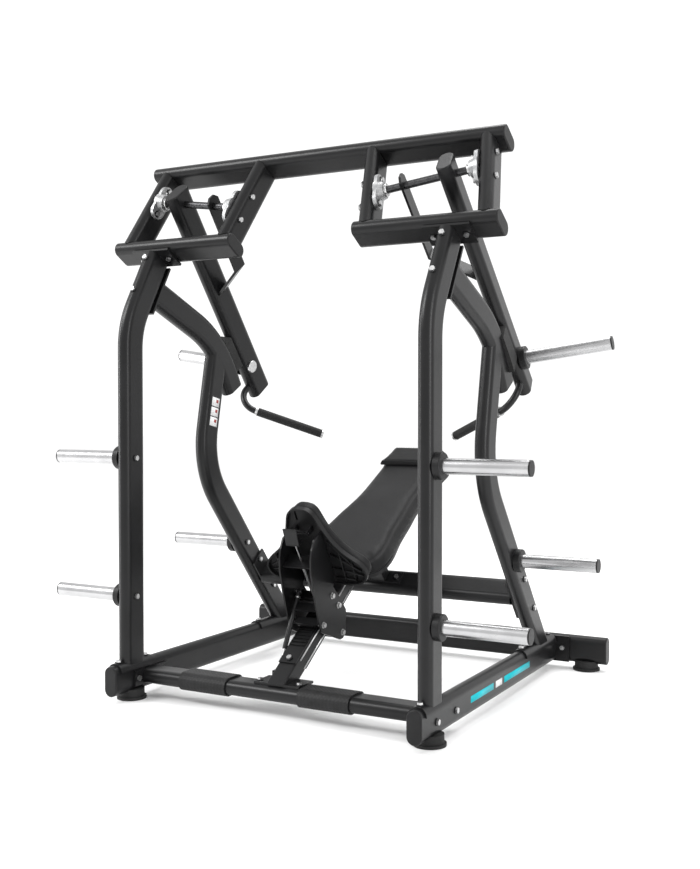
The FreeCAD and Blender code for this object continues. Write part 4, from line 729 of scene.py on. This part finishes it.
# ---------------------------------------------------------------- softened edges
EDGED = ("flange_plates", "post_bracket", "seat_rack", "carriage_sides", "carriage_cross_plates",
         "release_paddle", "bearing_housings", "lever_stops", "backrest_spine", "lever_brace_left",
         "lever_brace_right", "upright_saddles", "post_wear_strip", "frame_bolts", "carriage_bolts",
         "tube_end_caps", "foot_pads", "foot_grips", "seat_shell")


def soften_edges():
    """Small rounded edges, so that plates and castings catch the light."""
    for name in EDGED:
        edge = nodes[name].modifiers.new("worn_edge", "BEVEL")
        edge.width = 0.0012 if name != "seat_shell" else 0.0022
        edge.segments = 2
        edge.limit_method = "ANGLE"
        edge.angle_limit = math.radians(40)


# ---------------------------------------------------------------- scene
def build_stage():
    floor_look = Graph("floor", roughness=0.55)
    tone = floor_look.noise(1.5, 4)
    floor_look.set("Base Color", floor_look.colour(tone, (0.9, 0.9, 0.9), (0.93, 0.93, 0.93)))
    bpy.ops.mesh.primitive_plane_add(size=60, location=(0, 0, -0.0005))
    floor = bpy.context.object
    floor.name = "floor"
    floor.data.materials.append(floor_look.material)
    floor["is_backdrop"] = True


def add_light(name, place, target, size, power):
    light = bpy.data.lights.new(name, "AREA")
    light.shape = "RECTANGLE"
    light.size, light.size_y = size
    light.energy = power
    obj = bpy.data.objects.new(name, light)
    bpy.context.scene.collection.objects.link(obj)
    obj.location = place
    obj.rotation_euler = (Vector(target) - Vector(place)).to_track_quat("-Z", "Y").to_euler()


def build_lights():
    world = bpy.data.worlds.new("studio")
    world.use_nodes = True
    background = world.node_tree.nodes["Background"]
    background.inputs["Color"].default_value = (1, 1, 1, 1)
    background.inputs["Strength"].default_value = 1.12
    bpy.context.scene.world = world
    add_light("key", (-3.0, -3.4, 4.4), (0, 0, 0.9), (1.8, 1.8), 170)
    add_light("left_strip", (-3.4, -1.6, 1.6), (0, -0.3, 1.0), (0.5, 3.0), 60)
    add_light("right_strip", (3.6, -1.2, 1.8), (0, -0.3, 1.0), (0.5, 3.0), 60)
    add_light("overhead", (0.6, 1.4, 4.6), (0, 0.2, 0.0), (3.0, 3.0), 150)


def build_camera():
    azimuth, elevation = math.radians(28.513), math.radians(1.29)
    back = Vector((math.sin(azimuth) * math.cos(elevation),
                   -math.cos(azimuth) * math.cos(elevation), math.sin(elevation)))
    data = bpy.data.cameras.new("camera")
    data.sensor_width = 36
    data.lens = 45.48
    camera = bpy.data.objects.new("camera", data)
    bpy.context.scene.collection.objects.link(camera)
    camera.location = (1.912, -3.525, 1.0)
    camera.rotation_euler = (-back).to_track_quat("-Z", "Y").to_euler()
    bpy.context.scene.camera = camera


build_upholstery()
build_welds()
build_bearing_inserts()
build_grip_ridges()
build_gas_ends()
build_seat_ribs()
# painted highlights: bright strips along the seat post's rounded corners
build_painted_highlight_strips()
build_marks()
soften_edges()
build_stage()
build_lights()
build_camera()
bpy.context.scene.view_settings.view_transform = "Standard"

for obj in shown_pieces():
    obj.data.update()
